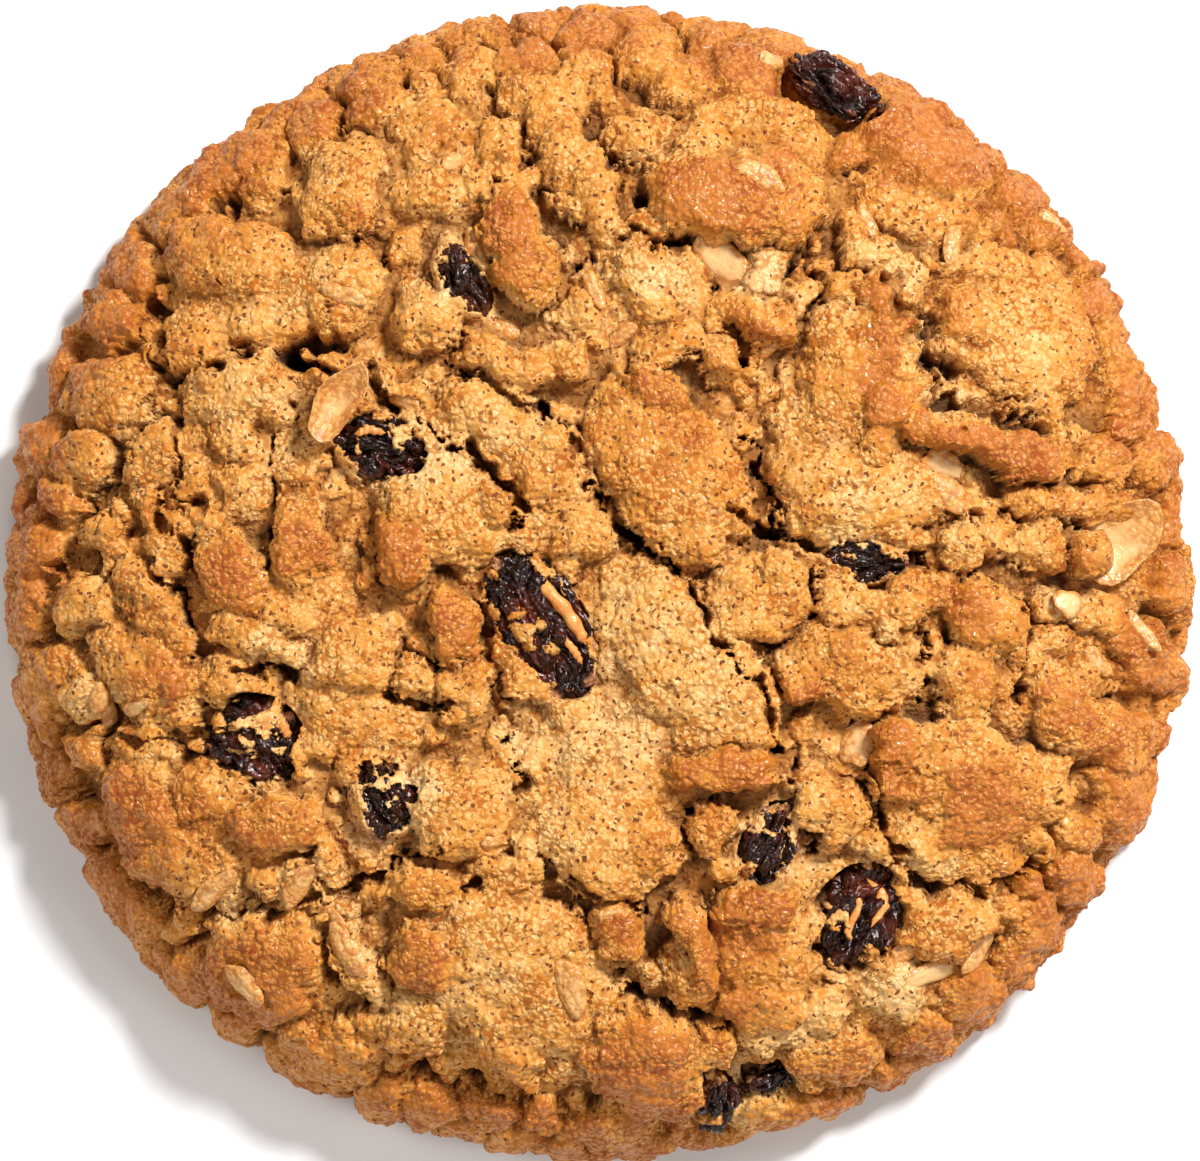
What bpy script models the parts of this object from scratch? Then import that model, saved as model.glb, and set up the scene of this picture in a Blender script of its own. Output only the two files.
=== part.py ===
# An oatmeal raisin cookie: one craggy baked body, with raisins and large oat flakes bedded in its top.
# Metres, +Z up. The origin is on the flat underside, below the cookie's middle, and +X is its longest way.

import math
import random

import bpy
import bmesh
from mathutils import Matrix, Vector
from mathutils.bvhtree import BVHTree

MM = 0.001

# Driving sizes, in millimetres.
LENGTH = 88.2
WIDTH = 85.4
CROWN = 15.8          # the smooth dome's height at the middle, under the lumps
RIM = 6.2             # the smooth dome's height at the edge
DOME_POWER = 3.6      # how flat the top stays before it falls to the edge
EDGE_LUMP = 0.8       # how far the rim's knobs stand out of the smooth edge
FOOT_TUCK = 2.2       # how far the underside's edge lies inside the widest part
FOOT_DEPTH = 1.5      # dough below the underside, which the flat cut takes off
BODY_DROP = 1.2       # how far the plain turned body lies under the dome that carries the lumps
BELLY_TOP = 3.8       # the widest part runs between these two heights
BELLY_LOW = 2.4
GAP = 0.3             # clearance between the dough and what is bedded in it

DOME_STEPS = (0.25, 0.5, 0.7, 0.82, 0.9, 0.96)     # shares of the radius where the outline has a point
DOUGH_VOXEL = 1.05
DOUGH_TRIANGLES = 4300
TURN_STEPS = 72
RIM_KNOBS = 46
FILL_LUMPS = 120
FILL_REACH = 0.95     # share of the radius that the small lumps cover
GOLDEN_ANGLE = math.pi * (3 - math.sqrt(5))
SEED = 11

DOUGH_COLOUR = (0.50, 0.29, 0.12, 1.0)
RAISIN_COLOUR = (0.045, 0.016, 0.014, 1.0)
OAT_COLOUR = (0.66, 0.47, 0.25, 1.0)

LUMP_DEPTH = 2.6      # thickness of the smallest lump
LUMP_SWELL = 0.45     # more thickness for each millimetre of width

# The larger lumps of dough: x, y, length, width, turn in degrees, and how far the top stands above the dome.
LUMPS = (
    (-27.0, 23.5, 10.0, 7.0, -8, 1.4),
    (-19.5, 21.5, 6.0, 8.0, -30, 0.8),
    (-19.0, 29.5, 7.0, 8.0, 0, 1.2),
    (-36.5, 14.0, 7.0, 6.0, 0, 0.9),
    (-11.0, 31.5, 8.0, 7.0, 40, 0.8),
    (-3.0, 32.0, 12.0, 5.0, -61, 1.3),
    (-6.0, 25.0, 9.5, 5.0, -77, 1.4),
    (3.6, 22.5, 7.0, 6.0, -30, 1.2),
    (10.0, 28.6, 13.0, 7.5, -5, 2.2),
    (8.5, 36.5, 8.0, 6.0, 10, 1.0),
    (11.0, 20.0, 6.5, 3.5, -25, 1.4),
    (-12.5, 20.0, 5.5, 5.5, 0, 1.0),
    (23.7, 31.7, 11.0, 5.5, -35, 1.6),
    (21.3, 23.2, 8.0, 3.2, -35, 1.2),
    (32.2, 18.0, 9.5, 11.0, 0, 1.4),
    (19.0, 15.0, 11.0, 13.0, 0, 1.6),
    (18.5, 7.0, 13.0, 8.0, 0, 1.6),
    (28.0, 10.4, 12.5, 3.6, -18, 2.2),
    (37.0, 7.5, 7.0, 6.0, 0, 0.8),
    (29.0, 1.5, 8.0, 7.0, 0, 0.9),
    (27.5, -4.5, 7.0, 8.0, -20, 1.4),
    (35.0, -8.0, 9.0, 6.0, -65, 1.0),
    (18.0, -5.0, 10.0, 9.0, -20, 1.4),
    (4.8, 9.0, 15.5, 9.5, -52, 1.9),
    (-6.0, 11.5, 12.0, 7.0, -30, 1.0),
    (-11.0, 4.5, 11.0, 8.0, 0, 1.4),
    (-10.4, -5.5, 5.0, 10.0, 5, 1.2),
    (6.2, -6.0, 17.0, 10.0, -50, 1.5),
    (0.5, -18.0, 11.0, 10.0, -50, 1.3),
    (-18.5, -5.2, 7.0, 6.5, 0, 1.0),
    (-26.5, 12.5, 9.0, 8.0, 0, 1.2),
    (-24.8, 1.8, 8.0, 8.0, -70, 1.5),
    (-34.0, 7.0, 8.0, 7.0, 20, 0.9),
    (-33.5, -4.5, 12.0, 7.0, -48, 1.3),
    (-34.0, -16.0, 9.0, 6.0, -60, 1.4),
    (-26.0, -18.5, 10.0, 6.0, -10, 1.5),
    (-25.0, -28.0, 10.0, 8.5, -25, 1.5),
    (-20.4, -34.5, 8.5, 5.0, -15, 0.9),
    (-10.4, -17.0, 8.5, 8.0, 0, 1.2),
    (-6.0, -29.0, 17.0, 13.0, -40, 1.4),
    (3.2, -35.5, 9.5, 8.5, -50, 1.7),
    (9.5, -13.8, 8.5, 3.4, 0, 1.6),
    (11.0, -27.0, 8.0, 12.0, 0, 2.0),
    (28.0, -15.5, 12.0, 10.0, -35, 1.7),
    (17.5, -16.5, 7.0, 5.0, -50, 1.0),
    (26.0, -25.5, 8.5, 5.5, 35, 1.2),
    (19.5, -32.0, 11.0, 5.5, -15, 1.0),
)

# The raisins: x, y, length, width, turn in degrees, and how far the top stands above the dough round it.
RAISINS = (
    (17.2, 36.4, 8.0, 4.8, -35, 1.6),
    (-10.2, 22.2, 6.2, 3.8, -60, 1.2),
    (-16.3, 10.0, 7.2, 5.0, -12, 1.5),
    (-4.3, -3.0, 12.0, 6.6, -60, 2.2),
    (19.2, 1.6, 6.4, 3.6, -3, 1.2),
    (-25.4, -11.6, 7.6, 6.6, -40, 1.6),
    (-15.9, -15.9, 6.2, 5.2, -60, 1.5),
    (12.4, -19.2, 6.6, 4.0, 65, 1.4),
    (19.0, -24.8, 8.6, 6.4, 60, 1.8),
    (8.6, -38.3, 5.2, 3.2, 78, 1.2),
    (12.4, -36.6, 3.6, 3.0, 20, 1.0),
)
RAISIN_THICKNESS = 0.72        # of the width
RAISIN_FOLDS = 5
RAISIN_FOLD_DEPTH = 0.09
RAISIN_SEGMENTS = 12
RAISIN_RINGS = 8

# The largest oat flakes: x, y, length, width and turn in degrees.
FLAKES = (
    (38.4, 2.9, 6.5, 5.5, 50),
    (9.0, 23.8, 4.0, 3.0, -45),
    (25.5, 6.6, 4.2, 2.2, -28),
    (-27.9, -22.2, 4.2, 2.2, 45),
    (24.0, -28.6, 4.6, 2.2, -15),
    (19.0, -11.8, 4.0, 2.6, 80),
)
FLAKE_THICKNESS = 1.0
FLAKE_DISH = 0.5               # rise of the edge, as a share of the thickness
FLAKE_PROUD = 0.1              # how far the middle stands above the dough, as a share of the thickness
FLAKE_SEGMENTS = 12
FLAKE_RINGS = 4


def clear_scene():
    for item in list(bpy.data.objects):
        bpy.data.objects.remove(item, do_unlink=True)


def new_collection(name):
    collection = bpy.data.collections.new(name)
    bpy.context.scene.collection.children.link(collection)
    return collection


def new_material(name, colour, roughness):
    material = bpy.data.materials.new(name)
    material.use_nodes = True
    shader = material.node_tree.nodes["Principled BSDF"]
    shader.inputs["Base Color"].default_value = colour
    shader.inputs["Roughness"].default_value = roughness
    shader.inputs["Metallic"].default_value = 0.0
    return material


def object_from(bm, name, collection):
    mesh = bpy.data.meshes.new(name)
    bm.to_mesh(mesh)
    bm.free()
    item = bpy.data.objects.new(name, mesh)
    collection.objects.link(item)
    return item


def dome(x, y):
    """Height of the smooth dome over (x, y), all in millimetres."""
    reach = min(math.hypot(2 * x / LENGTH, 2 * y / WIDTH), 1.0)
    return RIM + (CROWN - RIM) * (1 - reach ** DOME_POWER)


def dome_normal(x, y):
    step = LUMP_DEPTH / 2
    slope_x = (dome(x + step, y) - dome(x - step, y)) / (2 * step)
    slope_y = (dome(x, y + step) - dome(x, y - step)) / (2 * step)
    return Vector((-slope_x, -slope_y, 1)).normalized()


def placed(centre, normal, turn, half_sizes):
    """Matrix that takes a unit sphere to an ellipsoid lying across the normal, in metres."""
    lean = Vector((0, 0, 1)).rotation_difference(normal).to_matrix().to_4x4()
    size = Matrix.Diagonal((*[half * MM for half in half_sizes], 1))
    return Matrix.Translation(Vector(centre) * MM) @ lean @ Matrix.Rotation(math.radians(turn), 4, "Z") @ size


def add_lump(bm, x, y, length, width, turn, stand):
    thickness = LUMP_DEPTH + LUMP_SWELL * min(length, width)
    centre = (x, y, dome(x, y) + stand - thickness / 2)
    shape = placed(centre, dome_normal(x, y), turn, (length / 2, width / 2, thickness / 2))
    bmesh.ops.create_icosphere(bm, subdivisions=3, radius=1, matrix=shape)


def turned_body(collection):
    """The plain round body: its half outline turned about Z, and stretched to the length and width."""
    radius = LENGTH / 2 - EDGE_LUMP
    outline = [(0, CROWN - BODY_DROP)]
    for share in DOME_STEPS:
        outline.append((radius * share, dome(share * LENGTH / 2, 0) - BODY_DROP))
    outline += [(radius, BELLY_TOP), (radius, BELLY_LOW), (radius - FOOT_TUCK, -FOOT_DEPTH), (0, -FOOT_DEPTH)]
    bm = bmesh.new()
    points = [bm.verts.new((r * MM, 0, z * MM)) for r, z in outline]
    for first, second in zip(points, points[1:]):
        bm.edges.new((first, second))
    body = object_from(bm, "dough_turned", collection)
    body.scale.y = (WIDTH - 2 * EDGE_LUMP) / (LENGTH - 2 * EDGE_LUMP)
    screw = body.modifiers.new("turn", "SCREW")
    screw.steps = TURN_STEPS
    screw.render_steps = TURN_STEPS
    screw.use_merge_vertices = True
    screw.merge_threshold = 0.00005
    return body


def evaluated_bmesh(item):
    """A new bmesh of the object as its modifiers leave it, in world space."""
    bpy.context.view_layer.update()
    graph = bpy.context.evaluated_depsgraph_get()
    bm = bmesh.new()
    bm.from_object(item, graph)
    bm.transform(item.matrix_world)
    return bm


def add_rim_knobs(bm, chance):
    """Knobs all round the edge, in two staggered rows."""
    for number in range(RIM_KNOBS):
        angle = 2 * math.pi * (number + chance.uniform(-0.3, 0.3)) / RIM_KNOBS
        size = chance.uniform(2.6, 4.4)
        low = number % 2
        out = chance.uniform(0.1, 0.6) if low else chance.uniform(-0.6, -0.1)
        height = chance.uniform(2.2, 3.2) if low else chance.uniform(4.4, 6.0)
        x = (LENGTH / 2 + out - size / 2) * math.cos(angle)
        y = (WIDTH / 2 + out - size / 2) * math.sin(angle)
        halves = (size / 2, size * 0.75, size / 2)
        shape = placed((x, y, height), Vector((0, 0, 1)), math.degrees(angle), halves)
        bmesh.ops.create_icosphere(bm, subdivisions=2, radius=1, matrix=shape)


def add_fill_lumps(bm, chance):
    """Small lumps strewn over the dome, so that the ground between the large ones is broken too."""
    for number in range(FILL_LUMPS):
        angle = number * GOLDEN_ANGLE
        reach = FILL_REACH * math.sqrt((number + 0.5) / FILL_LUMPS)
        x = reach * LENGTH / 2 * math.cos(angle) + chance.uniform(-1.2, 1.2)
        y = reach * WIDTH / 2 * math.sin(angle) + chance.uniform(-1.2, 1.2)
        length = chance.uniform(2.6, 4.6)
        width = length * chance.uniform(0.6, 0.95)
        turn = chance.uniform(0, 180)
        add_lump(bm, x, y, length, width, turn, chance.uniform(-0.9, 0.7))


def dough_mesh(helpers):
    """The whole dough body, lumps and all, cut flat at the underside and with nothing bedded in it yet."""
    chance = random.Random(SEED)
    plain = turned_body(helpers)
    bm = evaluated_bmesh(plain)
    bmesh.ops.remove_doubles(bm, verts=bm.verts, dist=0.00002)
    bmesh.ops.recalc_face_normals(bm, faces=bm.faces)
    for lump in LUMPS:
        add_lump(bm, *lump)
    add_fill_lumps(bm, chance)
    add_rim_knobs(bm, chance)
    bpy.data.objects.remove(plain, do_unlink=True)

    whole = object_from(bm, "dough_whole", helpers)
    remesh = whole.modifiers.new("merge", "REMESH")
    remesh.mode = "VOXEL"
    remesh.voxel_size = DOUGH_VOXEL * MM
    faces = len(evaluated_bmesh(whole).faces)
    decimate = whole.modifiers.new("thin", "DECIMATE")
    decimate.ratio = DOUGH_TRIANGLES / (2 * faces)
    bm = evaluated_bmesh(whole)
    bpy.data.objects.remove(whole, do_unlink=True)

    everything = bm.verts[:] + bm.edges[:] + bm.faces[:]
    ground_plane = {"plane_co": (0, 0, 0), "plane_no": (0, 0, 1)}
    cut = bmesh.ops.bisect_plane(bm, geom=everything, clear_inner=True, **ground_plane)
    rim = [edge for edge in cut["geom_cut"] if isinstance(edge, bmesh.types.BMEdge)]
    bmesh.ops.holes_fill(bm, edges=rim, sides=0)
    bmesh.ops.recalc_face_normals(bm, faces=bm.faces)
    bmesh.ops.triangulate(bm, faces=bm.faces)
    return bm


def centre_on_origin(bm):
    """Moves the mesh so that its box is centred over the origin."""
    for axis in (0, 1):
        low = min(vert.co[axis] for vert in bm.verts)
        high = max(vert.co[axis] for vert in bm.verts)
        for vert in bm.verts:
            vert.co[axis] -= (low + high) / 2


def ground(tree, x, y, spread):
    """Mean height, in millimetres, and normal of the dough round (x, y)."""
    heights = []
    normals = Vector((0, 0, 0))
    for step_x, step_y in ((0, 0), (1, 0), (-1, 0), (0, 1), (0, -1)):
        start = Vector((x + step_x * spread, y + step_y * spread, 60)) * MM
        hit, normal = tree.ray_cast(start, Vector((0, 0, -1)))[:2]
        if hit:
            heights.append(hit.z / MM)
            normals += normal
    return sum(heights) / len(heights), (normals.normalized() + Vector((0, 0, 1))).normalized()


def raisin_bmesh(length, width):
    """A wrinkled raisin in a unit ball, and its half thickness."""
    bm = bmesh.new()
    bmesh.ops.create_uvsphere(bm, u_segments=RAISIN_SEGMENTS, v_segments=RAISIN_RINGS, radius=1)
    for vert in bm.verts:
        around = math.atan2(vert.co.y, vert.co.z)
        fold = math.cos(RAISIN_FOLDS * around + 2.5 * vert.co.x + length)
        vert.co *= 1 - RAISIN_FOLD_DEPTH * (0.5 - 0.5 * fold) * (1 - abs(vert.co.x) ** 3)
    return bm, width * RAISIN_THICKNESS / 2


def flake_bmesh(length, width):
    """A rolled oat in a unit ball, dished up to its edge, and its half thickness."""
    bm = bmesh.new()
    bmesh.ops.create_uvsphere(bm, u_segments=FLAKE_SEGMENTS, v_segments=FLAKE_RINGS, radius=1)
    for vert in bm.verts:
        vert.co.z += FLAKE_DISH * (vert.co.x ** 2 + vert.co.y ** 2)
    return bm, FLAKE_THICKNESS / 2


def finish(item, material):
    item.data.materials.append(material)
    item.data.shade_smooth()
    item.data.set_sharp_from_angle(angle=math.radians(60))


def cut_pocket(dough, name, bm):
    cutter = object_from(bm, name, bpy.data.collections["cutters"])
    cutter.hide_render = True
    cutter.display_type = "WIRE"
    pocket = dough.modifiers.new(name, "BOOLEAN")
    pocket.operation = "DIFFERENCE"
    pocket.solver = "EXACT"
    pocket.object = cutter


def bed(name, shape, place, dough, look, tree):
    """Makes one raisin or flake where the dough's surface is, and cuts its pocket, GAP larger all round."""
    x, y, length, width, turn, rise = place
    height, normal = ground(tree, x, y, width / 2)
    centre = (x, y, height + rise)
    bm, half_depth = shape(length, width)
    pocket = bm.copy()
    bm.transform(placed(centre, normal, turn, (length / 2, width / 2, half_depth)))
    pocket.transform(placed(centre, normal, turn, (length / 2 + GAP, width / 2 + GAP, half_depth + GAP)))
    finish(object_from(bm, name, dough.users_collection[0]), look)
    cut_pocket(dough, f"pocket_{name}", pocket)


def main():
    clear_scene()
    cookie = new_collection("oatmeal_raisin_cookie")
    cutters = new_collection("cutters")
    dough_look = new_material("dough", DOUGH_COLOUR, 0.75)
    raisin_look = new_material("raisin", RAISIN_COLOUR, 0.35)
    oat_look = new_material("oat", OAT_COLOUR, 0.6)

    bm = dough_mesh(cutters)
    centre_on_origin(bm)
    tree = BVHTree.FromBMesh(bm)
    dough = object_from(bm, "dough", cookie)
    finish(dough, dough_look)

    for number, (x, y, length, width, turn, stand) in enumerate(RAISINS, 1):
        rise = stand - width * RAISIN_THICKNESS / 2
        bed(f"raisin_{number:02d}", raisin_bmesh, (x, y, length, width, turn, rise), dough, raisin_look, tree)
    for number, (x, y, length, width, turn) in enumerate(FLAKES, 1):
        rise = FLAKE_THICKNESS * FLAKE_PROUD
        bed(f"oat_flake_{number:02d}", flake_bmesh, (x, y, length, width, turn, rise), dough, oat_look, tree)


main()
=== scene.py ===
import math

import bpy
import numpy as np
from mathutils import Matrix, Vector
from mathutils.noise import noise as blenderNoise, noise_vector as noiseVector


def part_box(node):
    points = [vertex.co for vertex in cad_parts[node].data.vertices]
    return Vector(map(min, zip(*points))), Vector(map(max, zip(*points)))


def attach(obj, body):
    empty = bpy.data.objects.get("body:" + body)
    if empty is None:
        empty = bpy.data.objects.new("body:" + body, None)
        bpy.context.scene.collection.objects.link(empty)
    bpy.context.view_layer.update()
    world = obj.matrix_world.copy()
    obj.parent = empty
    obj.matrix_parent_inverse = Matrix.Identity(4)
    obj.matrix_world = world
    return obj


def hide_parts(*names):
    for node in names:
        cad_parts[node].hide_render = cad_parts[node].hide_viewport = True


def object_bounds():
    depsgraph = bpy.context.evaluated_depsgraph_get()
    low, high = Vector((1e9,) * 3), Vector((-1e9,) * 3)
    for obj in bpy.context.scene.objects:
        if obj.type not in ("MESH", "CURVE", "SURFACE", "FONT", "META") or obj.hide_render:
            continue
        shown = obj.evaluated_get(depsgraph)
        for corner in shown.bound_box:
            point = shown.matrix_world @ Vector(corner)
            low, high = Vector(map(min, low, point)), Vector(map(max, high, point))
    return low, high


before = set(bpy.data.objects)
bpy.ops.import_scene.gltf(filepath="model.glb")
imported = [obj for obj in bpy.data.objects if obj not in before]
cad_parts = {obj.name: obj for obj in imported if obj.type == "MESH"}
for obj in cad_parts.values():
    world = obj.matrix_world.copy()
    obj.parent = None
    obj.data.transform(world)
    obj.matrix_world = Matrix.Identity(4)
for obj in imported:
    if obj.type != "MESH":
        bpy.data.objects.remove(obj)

mm = 0.001
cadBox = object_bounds()
halfLength = (cadBox[1][0] - cadBox[0][0]) / 2 / mm
halfWidth = (cadBox[1][1] - cadBox[0][1]) / 2 / mm
squeeze = halfWidth / halfLength

# the studio: a long lens straight overhead, one key light and a ring of weaker soft ones
studio = {
    "cameraHeight": 2.0,
    "frameWidth": 0.0886,
    "middle": (0.0, 0.0002),
    "floorColour": (0.86, 0.86, 0.86),
    "lights": [  # name, compass turn in degrees, height over the table in degrees, distance, size, power
        ("keyLight", 50, 47, 1.8, 0.42, 51.0),
        ("westLight", 165, 42, 1.8, 0.9, 9.0),
        ("southLight", 265, 40, 1.8, 0.9, 7.5),
        ("eastLight", 340, 38, 1.8, 0.9, 8.0),
    ],
    "skyStrength": 0.16,
}

# the smooth form under the crumb, in mm
form = {
    "crown": 15.6,
    "belly": 3.2,
    "edge": halfLength - 0.5,
    "power": 3.6,
    "roundness": 1.6,
    "footTuck": 1.8,
    "gridStep": 0.11,
    "ground": -1.3,
    "top": 17.6,
}


def deselectAll():
    if bpy.context.object and bpy.context.object.mode != "OBJECT":
        bpy.ops.object.mode_set(mode="OBJECT")
    bpy.ops.object.select_all(action="DESELECT")


# ---- smooth form: arc length from the middle against radius, height and normal
def formCurve():
    r = np.linspace(0, 1, 1500) ** 0.5 * form["edge"]
    share = 1 - (r / form["edge"]) ** form["power"]
    z = form["belly"] + (form["crown"] - form["belly"]) * share ** (1 / form["roundness"])
    around = np.linspace(0, math.pi / 2, 60)[1:]
    r = np.append(r, form["edge"] - form["footTuck"] * (1 - np.cos(around)))
    z = np.append(z, form["belly"] * (1 - np.sin(around)))
    run = np.append(0, np.cumsum(np.hypot(np.diff(r), np.diff(z))))
    even = np.linspace(0, run[-1], 900)
    r = np.interp(even, run, r)
    z = np.interp(even, run, z)
    dr = np.gradient(r, even)
    dz = np.gradient(z, even)
    size = np.hypot(dr, dz)
    return even, r, z, -dz / size, dr / size


runs, runRadius, runHeight, runOut, runUp = formCurve()
reach = runs[-1]
widest = int(np.argmax(runRadius)) + 1
steps = int(math.ceil(2 * reach / form["gridStep"]))
axis = (np.arange(steps + 1) - steps / 2) * form["gridStep"]
flatX, flatY = np.meshgrid(axis, axis)
flatRun = np.minimum(np.hypot(flatX, flatY), reach)
flatTurn = np.arctan2(flatY, flatX)
baseRadius = np.interp(flatRun, runs, runRadius)
baseX = baseRadius * np.cos(flatTurn)
baseY = baseRadius * np.sin(flatTurn) * squeeze
baseZ = np.interp(flatRun, runs, runHeight)
normalOut = np.interp(flatRun, runs, runOut)
normalUp = np.interp(flatRun, runs, runUp)
print("smooth form:", steps, "steps across, reach", round(reach, 1), "mm")


def seenFrom(x, y):
    # what a lens at cameraHeight sees at x, y lies nearer the middle by its own height
    radius = math.hypot(x, y / squeeze)
    height = np.interp(min(radius, form["edge"]), runRadius[:widest], runHeight[:widest])
    share = 1 - height / (studio["cameraHeight"] / mm)
    return x * share, y * share


# ---- noise on flat arrays
def fade(t):
    return t * t * t * (t * (t * 6 - 15) + 10)


def noise(x, y, pitch, seed):
    angles = np.random.default_rng(seed).random((256, 256)) * 2 * math.pi
    gx, gy = np.cos(angles), np.sin(angles)
    px, py = x / pitch + 300, y / pitch + 300
    ix, iy = np.floor(px).astype(int), np.floor(py).astype(int)
    fx, fy = px - ix, py - iy

    def corner(dx, dy):
        cx, cy = (ix + dx) % 256, (iy + dy) % 256
        return gx[cx, cy] * (fx - dx) + gy[cx, cy] * (fy - dy)

    u, v = fade(fx), fade(fy)
    low = corner(0, 0) * (1 - u) + corner(1, 0) * u
    high = corner(0, 1) * (1 - u) + corner(1, 1) * u
    return (low * (1 - v) + high * v) * 1.5


def cells(x, y, pitch, seed):
    # distance to the nearest scattered point, the way to it in mm, and its own random number
    chance = np.random.default_rng(seed).random((3, 256, 256))
    px, py = x / pitch + 300, y / pitch + 300
    ix, iy = np.floor(px).astype(int), np.floor(py).astype(int)
    first = np.full(x.shape, 9.0)
    toX, toY, own = np.zeros(x.shape), np.zeros(x.shape), np.zeros(x.shape)
    for dx in (-1, 0, 1):
        for dy in (-1, 0, 1):
            cx, cy = (ix + dx) % 256, (iy + dy) % 256
            ox = ix + dx + 0.1 + 0.8 * chance[0, cx, cy]
            oy = iy + dy + 0.1 + 0.8 * chance[1, cx, cy]
            away = np.hypot(px - ox, py - oy)
            nearer = away < first
            own = np.where(nearer, chance[2, cx, cy], own)
            toX = np.where(nearer, (ox - px) * pitch, toX)
            toY = np.where(nearer, (oy - py) * pitch, toY)
            first = np.where(nearer, away, first)
    return first, toX, toY, own


def blurred(field, width):
    # three box blurs, width in mm
    half = max(1, int(round(width / form["gridStep"] / 2)))
    for turn in range(3):
        for side in (0, 1):
            padded = np.pad(field, [(half + 1, half) if a == side else (0, 0) for a in (0, 1)], mode="edge")
            total = np.cumsum(padded, axis=side)
            span = 2 * half + 1
            if side == 0:
                field = (total[span:] - total[:-span]) / span
            else:
                field = (total[:, span:] - total[:, :-span]) / span
    return field


def smoothStep(low, high, value):
    t = np.clip((value - low) / (high - low), 0, 1)
    return t * t * (3 - 2 * t)


# wandering coordinates, which give every lump a ragged outline
dough = {"wander": 0.8, "wanderPitch": 2.6, "ragged": 0.22, "raggedPitch": 0.9, "grainPitch": 0.46, "snap": 0.5,
         "clumpSnap": 0.3}
warpX = dough["wander"] * noise(flatX, flatY, dough["wanderPitch"], 1)
warpX += dough["ragged"] * noise(flatX, flatY, dough["raggedPitch"], 2)
warpY = dough["wander"] * noise(flatX, flatY, dough["wanderPitch"], 3)
warpY += dough["ragged"] * noise(flatX, flatY, dough["raggedPitch"], 4)
# the crumb is made of grains, and every edge runs between whole grains
grainNear, toGrainX, toGrainY, grainOwn = cells(flatX, flatY, dough["grainPitch"], 32)
clumpNear, toClumpX, toClumpY, clumpOwn = cells(flatX + 0.3 * warpX, flatY + 0.3 * warpY, 2.4 * dough["grainPitch"], 33)
grainTop = np.sqrt(np.clip(1 - (grainNear / 0.9) ** 2, 0, 1))
seenX = baseX + warpX + normalUp * (dough["snap"] * toGrainX + dough["clumpSnap"] * toClumpX)
seenY = baseY + warpY + normalUp * (dough["snap"] * toGrainY + dough["clumpSnap"] * toClumpY)

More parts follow.
